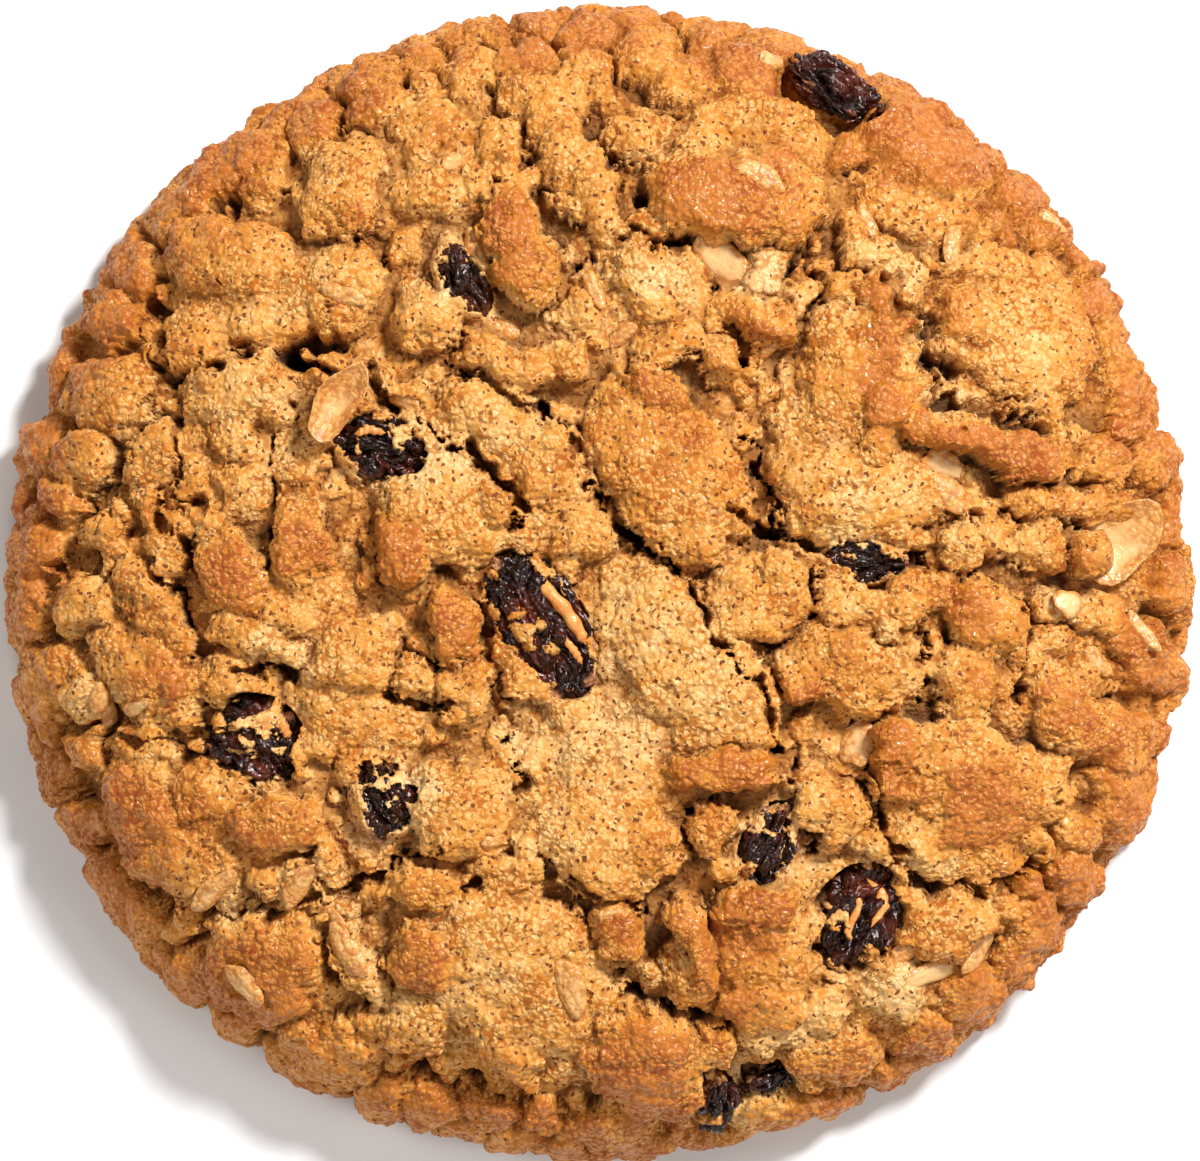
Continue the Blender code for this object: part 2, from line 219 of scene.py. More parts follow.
# large lumps, as x, y, length, width, turn, rise over the smooth form, toast from 0 pale to 1 dark
lumpsNorth = [
    (-27, 23.6, 10, 6.8, -8, 1.5, .7), (-30.3, 18.1, 5, 5.5, 0, .6, .3), (-25.4, 19.5, 4.5, 3.5, 0, .4, .3),
    (-19.6, 21.7, 6, 8, -30, .7, .2), (-19.2, 29.6, 6.7, 8, 0, 1.2, .4), (-25.4, 32.3, 5.5, 3, 35, .8, .5),
    (-25.4, 29.4, 4, 4.5, 0, .4, .4), (-30.1, 28.6, 9, 3.5, 42, .9, .6), (-34.8, 23.4, 4.5, 3.5, 55, .6, .6),
    (-35.8, 19.5, 5, 4.5, 0, .9, .5), (-36.5, 13.8, 7, 6, 0, 1.1, .4), (-32.5, 23.9, 1.6, 1.6, 0, 0, .3),
    (-32.6, 21.5, 1.8, 1.8, 0, .1, .3), (-21.6, 34.5, 4.5, 2.5, 25, .4, .6), (-21.2, 33.3, 4, 2.5, 35, .5, .4),
    (-17.2, 37.5, 5.5, 3, 25, .6, .6), (-16.7, 35.1, 5, 2.6, 25, .8, .4), (-13, 34.3, 6, 4, 0, .7, .3),
    (-15, 31, 4.5, 5, 0, -.2, .2), (-9.6, 37.7, 5, 4, 0, .7, .4), (-4.7, 41.2, 3.8, 2.6, 0, .5, .6),
    (-.9, 40.6, 4.5, 2.6, 0, .7, .5), (2.7, 41.6, 3.6, 2.6, 0, .4, .6), (3.4, 39.2, 5, 3.8, 0, .8, .4),
    (-1.1, 37.9, 4.5, 3.4, -20, .9, .3), (-5.6, 38.5, 5, 3, 0, .8, .4), (-13, 36.9, 2.5, 2, 0, .5, .3),
    (-8.6, 41, 4, 2.2, 10, .4, .6), (-11.2, 40.2, 2.8, 2, 0, .3, .6), (-13.2, 38.5, 3.5, 2, 0, .4, .5),
    (8.2, 40.2, 4, 3, 0, .6, .5), (12.5, 39.5, 5.5, 2.5, -10, .5, .6), (6.2, 37.5, 6, 4, 0, .9, .4),
    (10.6, 36.9, 5, 6.5, 0, 1.2, .9), (9.2, 34.3, 7, 3.5, 0, .9, .4), (13.7, 34.5, 4.5, 4.2, 0, .9, .4),
    (2.7, 32.9, 5, 4.5, 0, .9, .4), (.8, 36, 3, 2, 0, -.4, .2), (-4.3, 35.9, 7, 3.5, 0, 1.1, .4),
    (-1.7, 30.2, 11.5, 4.6, -61, 1.3, .4), (-7.6, 32.5, 4.5, 4.3, 0, .8, .3), (-12.2, 32.9, 6.5, 2.6, 45, .8, .3),
    (-12.6, 29, 5.5, 4, 0, .7, .3), (-9.4, 29, 3, 2, 20, .6, .3), (-5.9, 24.8, 9.5, 5, -77, 1.4, .7),
    (-6.5, 30, 6, 3, 0, .5, .3), (-1.3, 20.3, 3, 4, 0, .3, .3), (3.6, 22.4, 7, 6, -30, 1.1, .3),
    (3.5, 26.6, 3.5, 2, 0, .4, .4), (10, 28.6, 13, 7.5, -5, 2.1, 1), (7.6, 32.1, 5, 4, 0, 1.1, .6),
    (4.5, 29.2, 2.5, 3.5, 0, .8, .5), (12.2, 23, 3.5, 4, 0, .3, .2), (12, 19.5, 5.5, 3.5, -25, 1.4, .8),
    (9, 20, 2.5, 3, 0, .7, .4), (5.2, 17.7, 6, 3.5, 20, .9, .3), (9, 16.7, 4, 2.8, -30, .8, .3),
    (-12.6, 20.1, 5.5, 5.3, 0, 1, .4), (-6.8, 16.3, 6.5, 3.6, -25, .9, .3), (-3, 16.5, 3.5, 3, 0, .6, .2),
]
lumpsEast = [
    (23.7, 31.7, 11, 5.5, -35, 1.7, .9), (22.7, 28.2, 6.5, 4.2, 0, .3, .3), (18.5, 32, 2.5, 2.4, 0, .2, .5),
    (22.5, 35.9, 6, 2.6, -30, .5, .6), (26.2, 33.3, 3.5, 2.6, -30, .6, .6), (28.8, 31.1, 3, 2.5, 0, .6, .6),
    (31, 28.5, 5, 3, -45, .7, .5), (33.2, 26, 3.5, 2.5, -50, .6, .5), (36.1, 23.2, 1.8, 1.6, 0, .6, .5),
    (36.5, 20.7, 4, 3, -55, .6, .5), (38, 17, 5, 3, -70, .6, .5), (38.8, 13.8, 3.5, 2.5, -75, .5, .5),
    (28.5, 26, 3.2, 2.5, 20, 1, .3), (21.3, 23.2, 8, 3.2, -35, 1.3, .1), (18.5, 26.5, 2.5, 3, 0, .6, .3),
    (29, 23.4, 7.5, 3, -10, .8, .3), (32.2, 18, 9.5, 11, 0, 1.2, .3), (27.5, 19.9, 5, 4, 0, 1, .3),
    (28, 16.7, 5.5, 2.3, -5, .9, .2), (27, 14, 6, 3, 0, -.2, .1), (19, 7, 13, 8, 0, 1.4, .4),
    (19.5, 15, 10, 12, 0, 1.5, .5), (17.7, 21.6, 3.4, 3, 0, 1.2, .4), (21, 17.5, 4, 4, 0, 1.7, .9),
    (20.8, 12.9, 3.8, 3.6, 0, 2.3, .95), (21.4, 18, 4.4, 12, 6, 1.9, .7), (27.9, 10.4, 12.5, 3.2, -18, 2.1, 1), (32, 8.8, 3.8, 3.2, 0, 2, .9),
    (20.2, 10.6, 3.6, 3.2, 0, 1.8, .5), (27.5, 6, 5.5, 2.5, 0, .1, .2), (33.6, 9.5, 3.5, 4, 0, 1, .5),
    (33.5, 12.7, 3, 3, 0, .6, .4), (37.5, 9, 4.3, 3.8, 0, 1, .4), (38.7, 11.4, 2.8, 1.6, 0, .9, 0),
    (41.2, 8.8, 4, 3.5, 0, .7, .5), (35.4, 5.8, 11, 2.6, -3, .9, .6), (36.2, 2.2, 3, 3.2, 0, 1.8, .95),
    (26.9, 2.6, 2.8, 4.2, 0, .8, .4), (29.4, 3.3, 3, 3.6, 0, .9, .4), (32.5, 2.7, 4.5, 4.2, 0, .9, .3),
    (33.8, -1.7, 3, 2.4, 0, 1, .1), (23.9, -.9, 6, 4, 10, 1.1, .4), (28.7, -2.6, 7, 5, -35, 1.6, .9),
    (27.1, -7.2, 5.2, 6.5, 0, 1.4, .4), (31.3, -5.3, 3.2, 4.5, 0, .9, .4), (33.2, -4.2, 3.4, 2.6, 0, .8, .4),
    (34.6, -9.3, 8.5, 5, -65, 1.2, .5), (37, -2.4, 4.5, 3, 0, .8, .4), (39.7, -5.2, 6.5, 3.4, -62, .9, .5),
    (42.4, -.3, 3, 4, 0, .6, .4), (42.3, -7, 3, 4, 0, .6, .5), (38.5, -11.7, 5, 6, 0, .8, .5),
    (18.8, -1.8, 7, 4, -20, 1.2, .3), (21.3, -3.2, 2.6, 2, 0, 1.6, 0), (17.8, -6.4, 10, 6.5, -10, 1.4, .3),
    (18.3, -4.8, 2.4, 2.2, 0, 1.8, .4), (15, -7.7, 3, 2.4, 0, 1.7, .4), (22.1, -11.9, 4, 3.7, 0, 1.9, 1),
    (11.5, -.7, 8, 7, 0, 1.2, .4), (12.8, 1.2, 3.6, 1.8, -40, 1.6, .4), (10.5, -3, 4.5, 2.6, 0, 1.5, .4),
]
lumpsMiddle = [
    (4.8, 8.8, 15.5, 9.5, -52, 1.6, .6), (4, 14, 5, 4, -30, 1.7, .9), (5.7, 10, 4, 4, 0, 1.8, .8),
    (3.7, 8.8, 2.4, 2.4, 0, 1.8, .5), (5.8, 3.7, 9, 3, -28, 1.3, .5), (8.2, 2.7, 3, 2.4, 0, 1.6, .9),
    (-8.2, 12.8, 8, 5, -15, .9, .3), (-4.5, 8.8, 11, 5, -40, 1, .3), (-4.5, 7.2, 3.5, 4, 0, 1.2, .4),
    (-3.1, 9.9, 4, 3.5, 0, 1.2, .4), (-1.3, 3.4, 5, 4.5, 0, .9, .3), (-11.2, 4.9, 11, 8, 0, 1.2, .3),
    (-7.9, 5.8, 4, 3, -30, 1.4, .4), (-14.5, 2.4, 4.6, 5, 0, 1.5, .6), (-10.6, -3.4, 4, 5, 0, 1.5, .6),
    (-10, -8, 3.7, 5, 0, 1, .4), (-13.5, -7.2, 4, 3, 0, .8, .3), (-5.5, -6.6, 6.5, 3.6, -40, .7, .5),
    (6.2, -6, 17, 10, -50, 1.4, .2), (6, -7, 4, 2.6, -60, 1.7, .3), (11.5, -11, 4, 3, 0, 1.2, .3),
    (.3, -18.5, 11, 10, -50, 1.2, .3), (-18.5, -5.2, 7, 6.5, 0, .9, .3), (-2, -10, 5, 5, 0, .5, .3),
    (-1, -13, 5, 3.4, 20, .6, .3), (-6, -1, 4, 3, 30, .2, .3),
]
lumpsWest = [
    (-19.4, 13.1, 6.5, 3.6, 50, 1.2, .1), (-21.2, 10.7, 3, 2.6, 0, .7, .3), (-27, 14, 8.5, 6, 0, 1.2, .4),
    (-23.7, 12.2, 3, 3, 0, 1, .4), (-27, 10.8, 3.8, 3.5, 0, 1, .4), (-30.2, 7.8, 3.2, 5, 0, .6, .3),
    (-26.5, 7, 4.5, 5, 0, .6, .3), (-28.8, 4.5, 4, 2.5, 0, .5, .4), (-22.5, 9, 5, 4, 0, .1, .3),
    (-27.1, .5, 7.2, 5.2, -70, 1.5, .6), (-22.2, 3.1, 4.4, 7, 0, 1.4, .6), (-23.4, -2.3, 4.5, 3, 0, .9, .4),
    (-25.4, -4.2, 8, 3, -20, 1, .4), (-33.2, 9.4, 5.5, 4, 55, .9, .4), (-32.5, 4.9, 6, 2.8, -45, .7, .4),
    (-32, 2, 3.5, 2.4, -45, .7, .3), (-36.4, 3.7, 4, 3.8, 0, .6, .4), (-32.9, -1.8, 9.5, 3.6, -55, 1.1, .4),
    (-38, -1.6, 5.5, 5, 0, .9, .4), (-33.3, -6.6, 10.5, 6.5, -42, 1.2, .4), (-31.3, -7.8, 4, 3, -40, 1.6, .9),
    (-27.5, -7.2, 4.8, 4.5, 0, .8, .4), (-37.7, -8.6, 3.2, 4, 0, 1.1, .1), (-41.6, 9.9, 3, 5, 0, .6, .5),
    (-38.6, 9.2, 5, 4.6, 0, .9, .4), (-39.8, 6.3, 3.5, 3.2, 0, .7, .5), (-41.8, 2.5, 4, 4.4, 0, .7, .5),
    (-42.5, -1.5, 2.6, 6, 0, .6, .6), (-41.6, -6, 2.6, 3.4, 0, .5, .5), (-40.8, -7.6, 7, 5.5, 60, .8, .5),
    (-38, -12.5, 3.4, 3, 0, .8, .5), (-34, -12, 4.5, 5, 0, .9, .4),
]
lumpsSouth = [
    (-33.9, -16.7, 8.5, 5.5, -60, 1.4, .9), (-29.1, -15.9, 5.5, 4, 0, .8, .4), (-24.2, -17.7, 8, 4.6, 5, 1.6, .8),
    (-30.5, -20.8, 9.5, 5.5, -30, 1.2, .5), (-24.6, -21.8, 2.8, 3, 0, .9, .4), (-22, -22.2, 3.6, 4.2, 0, .8, .2),
    (-20, -20.2, 4.5, 2, -70, .9, 0), (-25, -28.1, 10, 8.5, -25, 1.4, .5), (-20.4, -34.7, 8.5, 5, -15, .9, .4),
    (-36.5, -22.5, 5.5, 3, -60, .6, .6), (-33.8, -24.8, 4.5, 3, -50, .8, .5), (-33.3, -27.5, 4, 2.6, -50, .6, .6),
    (-30.5, -29, 5, 3.5, -55, .8, .5), (-27.2, -32.9, 4.5, 3.2, -35, .6, .6), (-22.5, -36.3, 6.5, 2.6, -28, .5, .6),
    (-16.3, -38, 4, 3.5, 0, .7, .5), (-30.8, -24.8, 3, 2.8, 0, .8, .4), (-40.4, -15, 3, 3.6, 0, .6, .6),
    (-37.8, -17.6, 4.5, 3, -30, .7, .6), (-18.5, -27.2, 9, 3.4, -62, .8, .2), (-17, -33, 3, 4, 0, .5, .3),
    (-10.4, -16.9, 8.5, 8, 0, 1.1, .3), (-6, -29.5, 17, 13, -40, 1.2, .3), (-13, -22.7, 5.5, 2.6, 0, 1, .4),
    (-7, -21.4, 5.5, 3, 0, 1, .3), (-13, -27.6, 5.5, 5.2, 0, 1.6, .7), (-7.5, -33.6, 9, 3, -50, 1.6, .4),
    (-13.5, -32.5, 6, 5, 0, 1.1, .3), (1.3, -26, 4.2, 4, 0, 1.5, .6), (-2.5, -26, 4, 3, 0, .9, .2),
    (-5.2, -19.2, 2.8, 3.5, 0, .7, .3), (3.5, -19.8, 3, 3, 0, 1.4, .7), (3.2, -35.5, 9.5, 8.5, -50, 1.7, 1),
    (-2.4, -32.6, 4, 3.8, 0, 1, .4), (.5, -40.3, 8, 3, 0, .6, .6), (-12.5, -38.6, 5, 3.6, 0, .7, .5),
    (-8, -38.9, 5, 3, 0, .6, .5), (-7, -41, 3.4, 2.4, 0, .5, .6), (-4.4, -39, 3, 3, 0, .6, .5),
    (-2.4, -42, 2.4, 2, 0, .4, .6), (3.5, -41.7, 6, 1.8, 0, .4, .6), (12.5, -39.3, 5, 2.6, 0, .5, .6),
]
lumpsSouthEast = [
    (9, -13.8, 8.5, 3.2, 0, 1.6, .9), (8.2, -18.3, 4.6, 3.4, 60, 1, .4), (9.2, -21, 2.4, 2.4, 0, .9, .4),
    (11.5, -23.8, 6.8, 3.4, 0, 2, 1), (11.7, -27.2, 8, 11, 0, 1.2, .6), (12, -31.2, 6, 3.6, 0, 1.7, .7),
    (7, -26.8, 8, 3, -70, 1.7, .9), (7, -28.5, 4.5, 7, 0, .9, .4), (8.4, -34.1, 3, 3.6, 0, 1, .4),
    (12.5, -33.5, 6, 2.4, 10, 1, .1), (21.3, -14.8, 3.8, 4, 0, 1.3, .8), (27.8, -15.5, 12, 10, -35, 1.5, .7),
    (33, -15.3, 4.8, 6, 0, 1, .4), (32.3, -19.4, 2.4, 2.4, 0, 1, 0), (31.5, -21.8, 2.6, 2, 0, .7, .3),
    (16.7, -16.3, 7, 5, -50, 1, .3), (20.8, -19.1, 3.6, 3.4, 0, .6, .4), (23.3, -24.4, 2.4, 3.4, 0, .4, .4),
    (22.4, -21.8, 2, 2, 0, .3, .4), (26.3, -25.2, 8.5, 5.5, 35, 1.2, .5), (22.1, -30.2, 6, 4.5, -30, 1, .1),
    (20.8, -28.3, 3.4, 2.6, 0, .9, .2), (16.2, -31.5, 5.5, 4, 30, .9, .1), (17.2, -34.7, 8, 4.4, 10, .9, .3),
    (24.1, -33.5, 5.6, 3.8, 15, .9, .6), (27.5, -30.3, 6, 5, 50, 1.1, .6), (32, -25, 4.8, 5.2, 0, 1, .6),
    (34.8, -21.8, 3.6, 4.8, 0, .9, .6), (35.2, -18.5, 3.4, 3.2, 0, .8, .5), (38.3, -16.3, 4.6, 6.5, 0, .9, .5),
    (17.3, -38.6, 5, 2.2, 0, .5, .6), (14, -39, 4, 2.2, 0, .5, .6), (21.6, -36.5, 4, 2.4, 30, .5, .6),
    (30.4, -27.9, 4.4, 3.4, 50, .9, .5), (29, -21, 5, 4, 30, .6, .3), (24, -19, 4.5, 4.5, 0, .7, .3),
]
# broad sheets that join the lumps above them
sheets = [
    (18.5, 10.5, 22, 12, 84, .9, .35), (30.5, 19.5, 13, 13, 0, .8, .3), (0, -14, 24, 13, 20, .5, .25),
    (-27, 9, 14, 12, 0, .4, .3), (-8, 8, 18, 11, -35, .7, .3), (10, 32.5, 16, 9, 0, .7, .4),
    (-7, -30, 20, 15, -40, .9, .3), (12, -28, 10, 17, 0, .8, .5), (27.5, -17, 15, 14, -35, .8, .5),
    (20, -5, 14, 8, -15, .8, .3), (-23, -1, 12, 9, -30, .6, .4), (-28, -18, 14, 10, -15, .8, .5),
    (-26, 21.5, 14, 10, -5, .7, .4), (6, -6, 20, 12, -50, .8, .3), (-18, -9, 12, 10, -30, .4, .3),
    (-24, -28.5, 12, 11, -25, .8, .5), (4.5, 21, 14, 9, -20, .5, .3), (24, 30, 14, 8, -35, .8, .6),
    (22, -31, 12, 9, -10, .6, .3), (33, -7, 9, 12, -65, .6, .5), (-11, 31, 14, 9, 10, .5, .3),
]
bigLumps = lumpsNorth + lumpsEast + lumpsMiddle + lumpsWest + lumpsSouth + lumpsSouthEast


# every lump is pressed up out of the form, and the highest one wins
height = np.full(flatX.shape, form["ground"])
height += 0.7 * noise(flatX, flatY, 4.0, 5) + 0.3 * noise(flatX, flatY, 1.7, 6)
toast = np.full(flatX.shape, 0.15)
tone = 0.5 + 0.35 * noise(flatX, flatY, 6.0, 7)


def window(x, y, size):
    radius = math.hypot(x, y / squeeze)
    run = np.interp(min(radius, form["edge"]), runRadius[:widest], runs[:widest])
    turn = math.atan2(y / squeeze, x)
    half = size * (1.2 if radius < 35 else 2.2) + 1.8
    col = (run * math.cos(turn)) / form["gridStep"] + steps / 2
    row = (run * math.sin(turn)) / form["gridStep"] + steps / 2
    far = half / form["gridStep"]
    rows = slice(max(0, int(row - far)), max(0, int(row + far)) + 1)
    cols = slice(max(0, int(col - far)), max(0, int(col + far)) + 1)
    return rows, cols


def merge(part, top, brown, own, blend):
    # smooth highest-wins, which fills the crease between neighbours over blend mm
    gap = top - height[part]
    share = smoothStep(-blend, blend, gap)
    height[part] = np.maximum(top, height[part]) + np.maximum(blend - np.abs(gap), 0) ** 2 / (4 * blend)
    toast[part] = toast[part] * (1 - share) + brown * share
    tone[part] = tone[part] * (1 - share) + own * share


def pressLump(across, along, x, y, length, width, turn, rise, brown, own, square=2.6, blend=0.24):
    part = window(x, y, max(length, width) / 2)
    gx, gy = across[part] - x, along[part] - y
    cos, sin = math.cos(math.radians(turn)), math.sin(math.radians(turn))
    p = (gx * cos + gy * sin) / (length / 2)
    q = (-gx * sin + gy * cos) / (width / 2)
    d = (np.abs(p) ** square + np.abs(q) ** square) ** (1 / square)
    side = min(1.0 + 0.24 * min(length, width), 2.6)
    inside = np.clip(1 - d ** 3, 0, 1)
    lean = 0.07 * min(length, width) * (own[0] * p + own[1] * q)
    top = 1.2 * rise + lean - side * (1 - inside ** 0.55)
    top = np.where(d < 1, top, -9)
    merge(part, top, brown * smoothStep(-0.1, 0.75, inside), own[2], blend)


lumpChance = np.random.default_rng(21)
# small lumps fill the ground between the large ones first
golden = math.pi * (3 - math.sqrt(5))
smallLumps = {"count": 900, "least": 1.4, "most": 3.6}
for number in range(smallLumps["count"]):
    out = math.sqrt((number + 0.5) / smallLumps["count"]) * (form["edge"] - 1)
    x = out * math.cos(number * golden) + lumpChance.uniform(-1, 1)
    y = out * math.sin(number * golden) * squeeze + lumpChance.uniform(-1, 1)
    length = lumpChance.uniform(smallLumps["least"], smallLumps["most"])
    own = (lumpChance.uniform(-1, 1), lumpChance.uniform(-1, 1), lumpChance.uniform(0.1, 0.9))
    pressLump(seenX, seenY, x, y, length, length * lumpChance.uniform(0.55, 0.95), lumpChance.uniform(0, 180),
              lumpChance.uniform(-1.1, 0.1), lumpChance.uniform(0.1, 0.5), own)
for x, y, length, width, turn, rise, brown in sheets:
    pressLump(seenX, seenY, *seenFrom(x, y), length, width, turn, rise - 0.35, brown, (0, 0, 0.5), 2.3, 0.5)
for x, y, length, width, turn, rise, brown in bigLumps:
    own = (lumpChance.uniform(-1, 1), lumpChance.uniform(-1, 1), lumpChance.uniform(0.2, 0.8))
    x, y = seenFrom(x, y)
    pressLump(seenX, seenY, x, y, length, width, turn, rise, brown, own)
print("lumps:", len(bigLumps), "large,", smallLumps["count"], "small")

# knobs all round the skirt, in flat coordinates so that they aren't stretched
skirt = {"count": 210, "least": 2.6, "most": 5.6}
skirtX = flatX + warpX + 0.4 * toGrainX
skirtY = flatY + warpY + 0.4 * toGrainY
skirtStart = np.interp(0.955 * form["edge"], runRadius[:widest], runs[:widest])


def pressKnob(run, turn, length, width, lie, rise, brown, own):
    x, y = run * math.cos(turn), run * math.sin(turn)
    far = (length * 0.8 + 1) / form["gridStep"]
    row, col = y / form["gridStep"] + steps / 2, x / form["gridStep"] + steps / 2
    part = (slice(max(0, int(row - far)), int(row + far) + 1), slice(max(0, int(col - far)), int(col + far) + 1))
    gx, gy = skirtX[part] - x, skirtY[part] - y
    cos, sin = math.cos(turn + lie), math.sin(turn + lie)
    p, q = (gx * cos + gy * sin) / (width / 2), (-gx * sin + gy * cos) / (length / 2)
    d = (np.abs(p) ** 2.3 + np.abs(q) ** 2.3) ** (1 / 2.3)
    inside = np.clip(1 - d ** 2.2, 0, 1)
    merge(part, np.where(d < 1, rise - 1.5 * (1 - inside ** 0.5), -9), brown, own, 0.4)


for number in range(skirt["count"]):
    turn = 2 * math.pi * (number + lumpChance.uniform(-0.4, 0.4)) / skirt["count"]
    run = lumpChance.uniform(skirtStart, reach - 0.4)
    length = lumpChance.uniform(skirt["least"], skirt["most"])
    pressKnob(run, turn, length, length * lumpChance.uniform(0.6, 0.95), lumpChance.uniform(-0.5, 0.5),
              lumpChance.uniform(-0.2, 0.6), lumpChance.uniform(0.4, 0.8), lumpChance.uniform(0.1, 0.7))

# cracks between the lumps, as width, depth and the points that each runs through
cracks = [
    (1.3, 2.4, [(-33.2, 21.7), (-32.6, 18.5), (-31.3, 15.6), (-28, 16.4), (-25.7, 16.8), (-21.8, 16.6)]),
    (1.0, 2.0, [(-34.6, 10.4), (-36.6, 7.3), (-38.4, 4.4), (-40, 1.4)]), (1.0, 2.0, [(-33, 6.6), (-31, 3.4), (-30.4, 1.2)]),
    (1.0, 2.2, [(-15, 13), (-12, 11.2), (-10, 9.8), (-7.5, 7.5), (-5.8, 4.6)]),
    (0.8, 2.0, [(-1, 7.6), (1.4, 3.8), (5.2, 1.9), (6.8, -0.3), (8.6, -4), (10.2, -6), (12.2, -9), (13, -12.5)]),
    (0.7, 1.8, [(10.6, 11), (11.8, 8.5), (12.8, 5.8), (13, 3.6)]),
    (1.1, 2.0, [(10.6, 5), (13, 3.6), (17, 2.2)]),
    (0.7, 1.8, [(-33.2, 1.9), (-31.6, 0), (-30.2, -2.6)]),
    (1.3, 2.2, [(-23.8, 17.2), (-20, 16.2), (-16.5, 14.8), (-14.5, 13)]),
    (0.8, 1.8, [(-33.8, 20), (-34, 18), (-33.3, 16.5)]),
    (0.9, 1.8, [(-15.5, -36.3), (-10, -36.9), (-5, -38.6)]),
    (0.9, 1.8, [(-20.3, -24), (-20, -28), (-17, -31.5)]),
    (0.8, 1.8, [(-3.7, -21), (-1.5, -22.6), (0.3, -23.8), (3, -24.6)]),
    (1.2, 2.2, [(2, -30.2), (5, -31.4), (7.5, -32.5), (10, -33)]),
    (1.0, 2.0, [(20, -13.5), (20.6, -17), (23.5, -21.5), (25, -22.6), (29, -22.6), (32, -20.6)]),
    (2.6, 1.7, [(20.6, 22.6), (22.9, 19.8), (24.3, 16.8), (26.2, 13.6)]),
    (0.8, 1.6, [(-5.8, -13), (-5.6, -16)]),
    (0.7, 1.6, [(-15.8, -8), (-13.6, -9.4), (-11.3, -9.5)]),
    (0.9, 1.8, [(-27, -6.3), (-25, -6.3), (-22.5, -6.8)]),
    (0.8, 1.6, [(-12, 16.5), (-8, 14.6), (-4, 12.6), (-1.2, 9.6)]),
    (0.7, 1.5, [(-24, -24.5), (-20.5, -23), (-17, -22), (-12, -19.6)]),
    (0.7, 1.5, [(15, 24.6), (16.6, 22), (15, 20)]),
    (0.6, 1.4, [(2.4, 26.4), (4.6, 25.4), (8, 24.4)]),
    (0.7, 1.6, [(-35.5, -11), (-31, -12.4), (-28.5, -12.6)]),
    (0.7, 1.5, [(-38.5, 0), (-36.6, 4.5), (-35.6, 8.5), (-33.4, 11.6)]),
    (0.7, 1.5, [(-32, -24), (-28, -24.4), (-24.4, -23.6)]),
    (0.6, 1.4, [(29.4, 14), (30.4, 12.8), (32, 12.2)]),
    (0.7, 1.5, [(23.6, -3.6), (24.2, -6), (23.8, -9)]),
    (0.6, 1.4, [(30.6, -1.2), (32, -3.2), (30.6, -6), (31, -9.6)]),
    (0.7, 1.6, [(14.4, -13), (14, -16), (16, -20)]),
    (0.7, 1.4, [(-31.5, 12), (-31.4, 8), (-29.6, 5)]),
    (0.6, 1.4, [(-24.4, 10.2), (-24.2, 6), (-24.6, 1)]),
]
# small dark gaps, as x, y and size
gaps = [
    (-22.2, 17, 3.4), (-20.4, 17.6, 2.4), (-17.8, 25.4, 1.1), (-16, 24.2, 1), (-23.5, 29, .8), (-27.5, 28.2, .8), (-3.9, 37.3, .8),
    (-8.3, 36.2, .8), (1, 38, .8), (5, 34.6, 1), (1.3, 30, 1), (2.9, 28.2, .9), (1.2, 25, .8), (-5.6, 31.2, .8),
    (-7.5, 29.9, .8), (-1.1, 24, .8), (8.6, 22, .9), (11, 16.8, .8), (18.9, 30.3, .9), (26.5, 27.6, .7),
    (32.2, 24.6, .7), (16.8, 25.2, .8), (17.5, 27.7, .8), (14.2, 23.1, 1.1), (15.9, -2.3, .9), (33.5, -11.8, 1),
    (31.2, -8.1, .8), (31.5, -10, .8), (38, -8.5, .8), (13.5, 3.6, 1.3), (11.3, -7.2, .8), (12.6, -12.5, 1),
    (-7.3, -11.5, .8), (-33, -22.6, .8), (-28.6, -23.7, 1), (-15, -20.6, 1), (-9.4, -22.6, .9), (4.1, -29.4, .9),
    (-12, -19.4, .8), (-30.5, 3, .8), (-32.5, 6.5, .8), (-27.5, 21.9, .7), (-24.2, 21.3, .7), (32.6, -15.5, .8),
    (7.8, -16.4, .9), (6.5, -17.4, .8), (12, -26.5, .8), (24, 1.8, 1.4), (21.8, 1.6, 1.4), (16, -1, .8),
]
opened = np.zeros(flatX.shape)


def openCrack(width, depth, points):
    points = [seenFrom(x, y) for x, y in points]
    middle = np.mean(points, axis=0)
    part = window(*middle, max(math.dist(middle, p) for p in points) + width)
    px, py = seenX[part], seenY[part]
    away = np.full(px.shape, 99.0)
    for (x0, y0), (x1, y1) in zip(points, points[1:]):
        run = (x1 - x0) ** 2 + (y1 - y0) ** 2
        t = np.clip(((px - x0) * (x1 - x0) + (py - y0) * (y1 - y0)) / run, 0, 1)
        away = np.minimum(away, np.hypot(px - x0 - t * (x1 - x0), py - y0 - t * (y1 - y0)))
    wide = width * 0.36 * (0.5 + 1.9 * noise(flatX[part], flatY[part], 1.6, 41))
    mask = smoothStep(1.9, 0.2, away / np.maximum(wide, 0.05))
    opened[part] = np.maximum(opened[part], mask ** 2)
    height[part] -= 0.85 * depth * mask


for crack in cracks:
    openCrack(*crack)
for x, y, size in gaps:
    openCrack(size, 1.8, [(x - 0.2 * size, y), (x + 0.2 * size, y + 0.1 * size)])

# the raisins' places come from the frame: length, width, turn and how much dough clings to each
raisinShapes = [
    (8, 4.8, -35, .3), (6.2, 3.8, -60, .6), (7.2, 5, -12, .35), (12, 6.6, -60, .4), (6.4, 3.6, -3, .2),
    (7.6, 6.6, -40, .5), (6.2, 5.2, -60, .8), (6.6, 4, 65, .5), (8.6, 6.4, 60, .4), (5.2, 3.2, 78, .3),
    (3.6, 3, 20, .2),
]
raisin = {"thickness": 0.72, "cover": 0.38, "furrow": 0.85, "fold": 0.52, "crease": 0.22}


def raisinPlace(number):
    low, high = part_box(f"raisin_{number:02d}")
    return (np.array(low) + np.array(high)) / 2 / mm


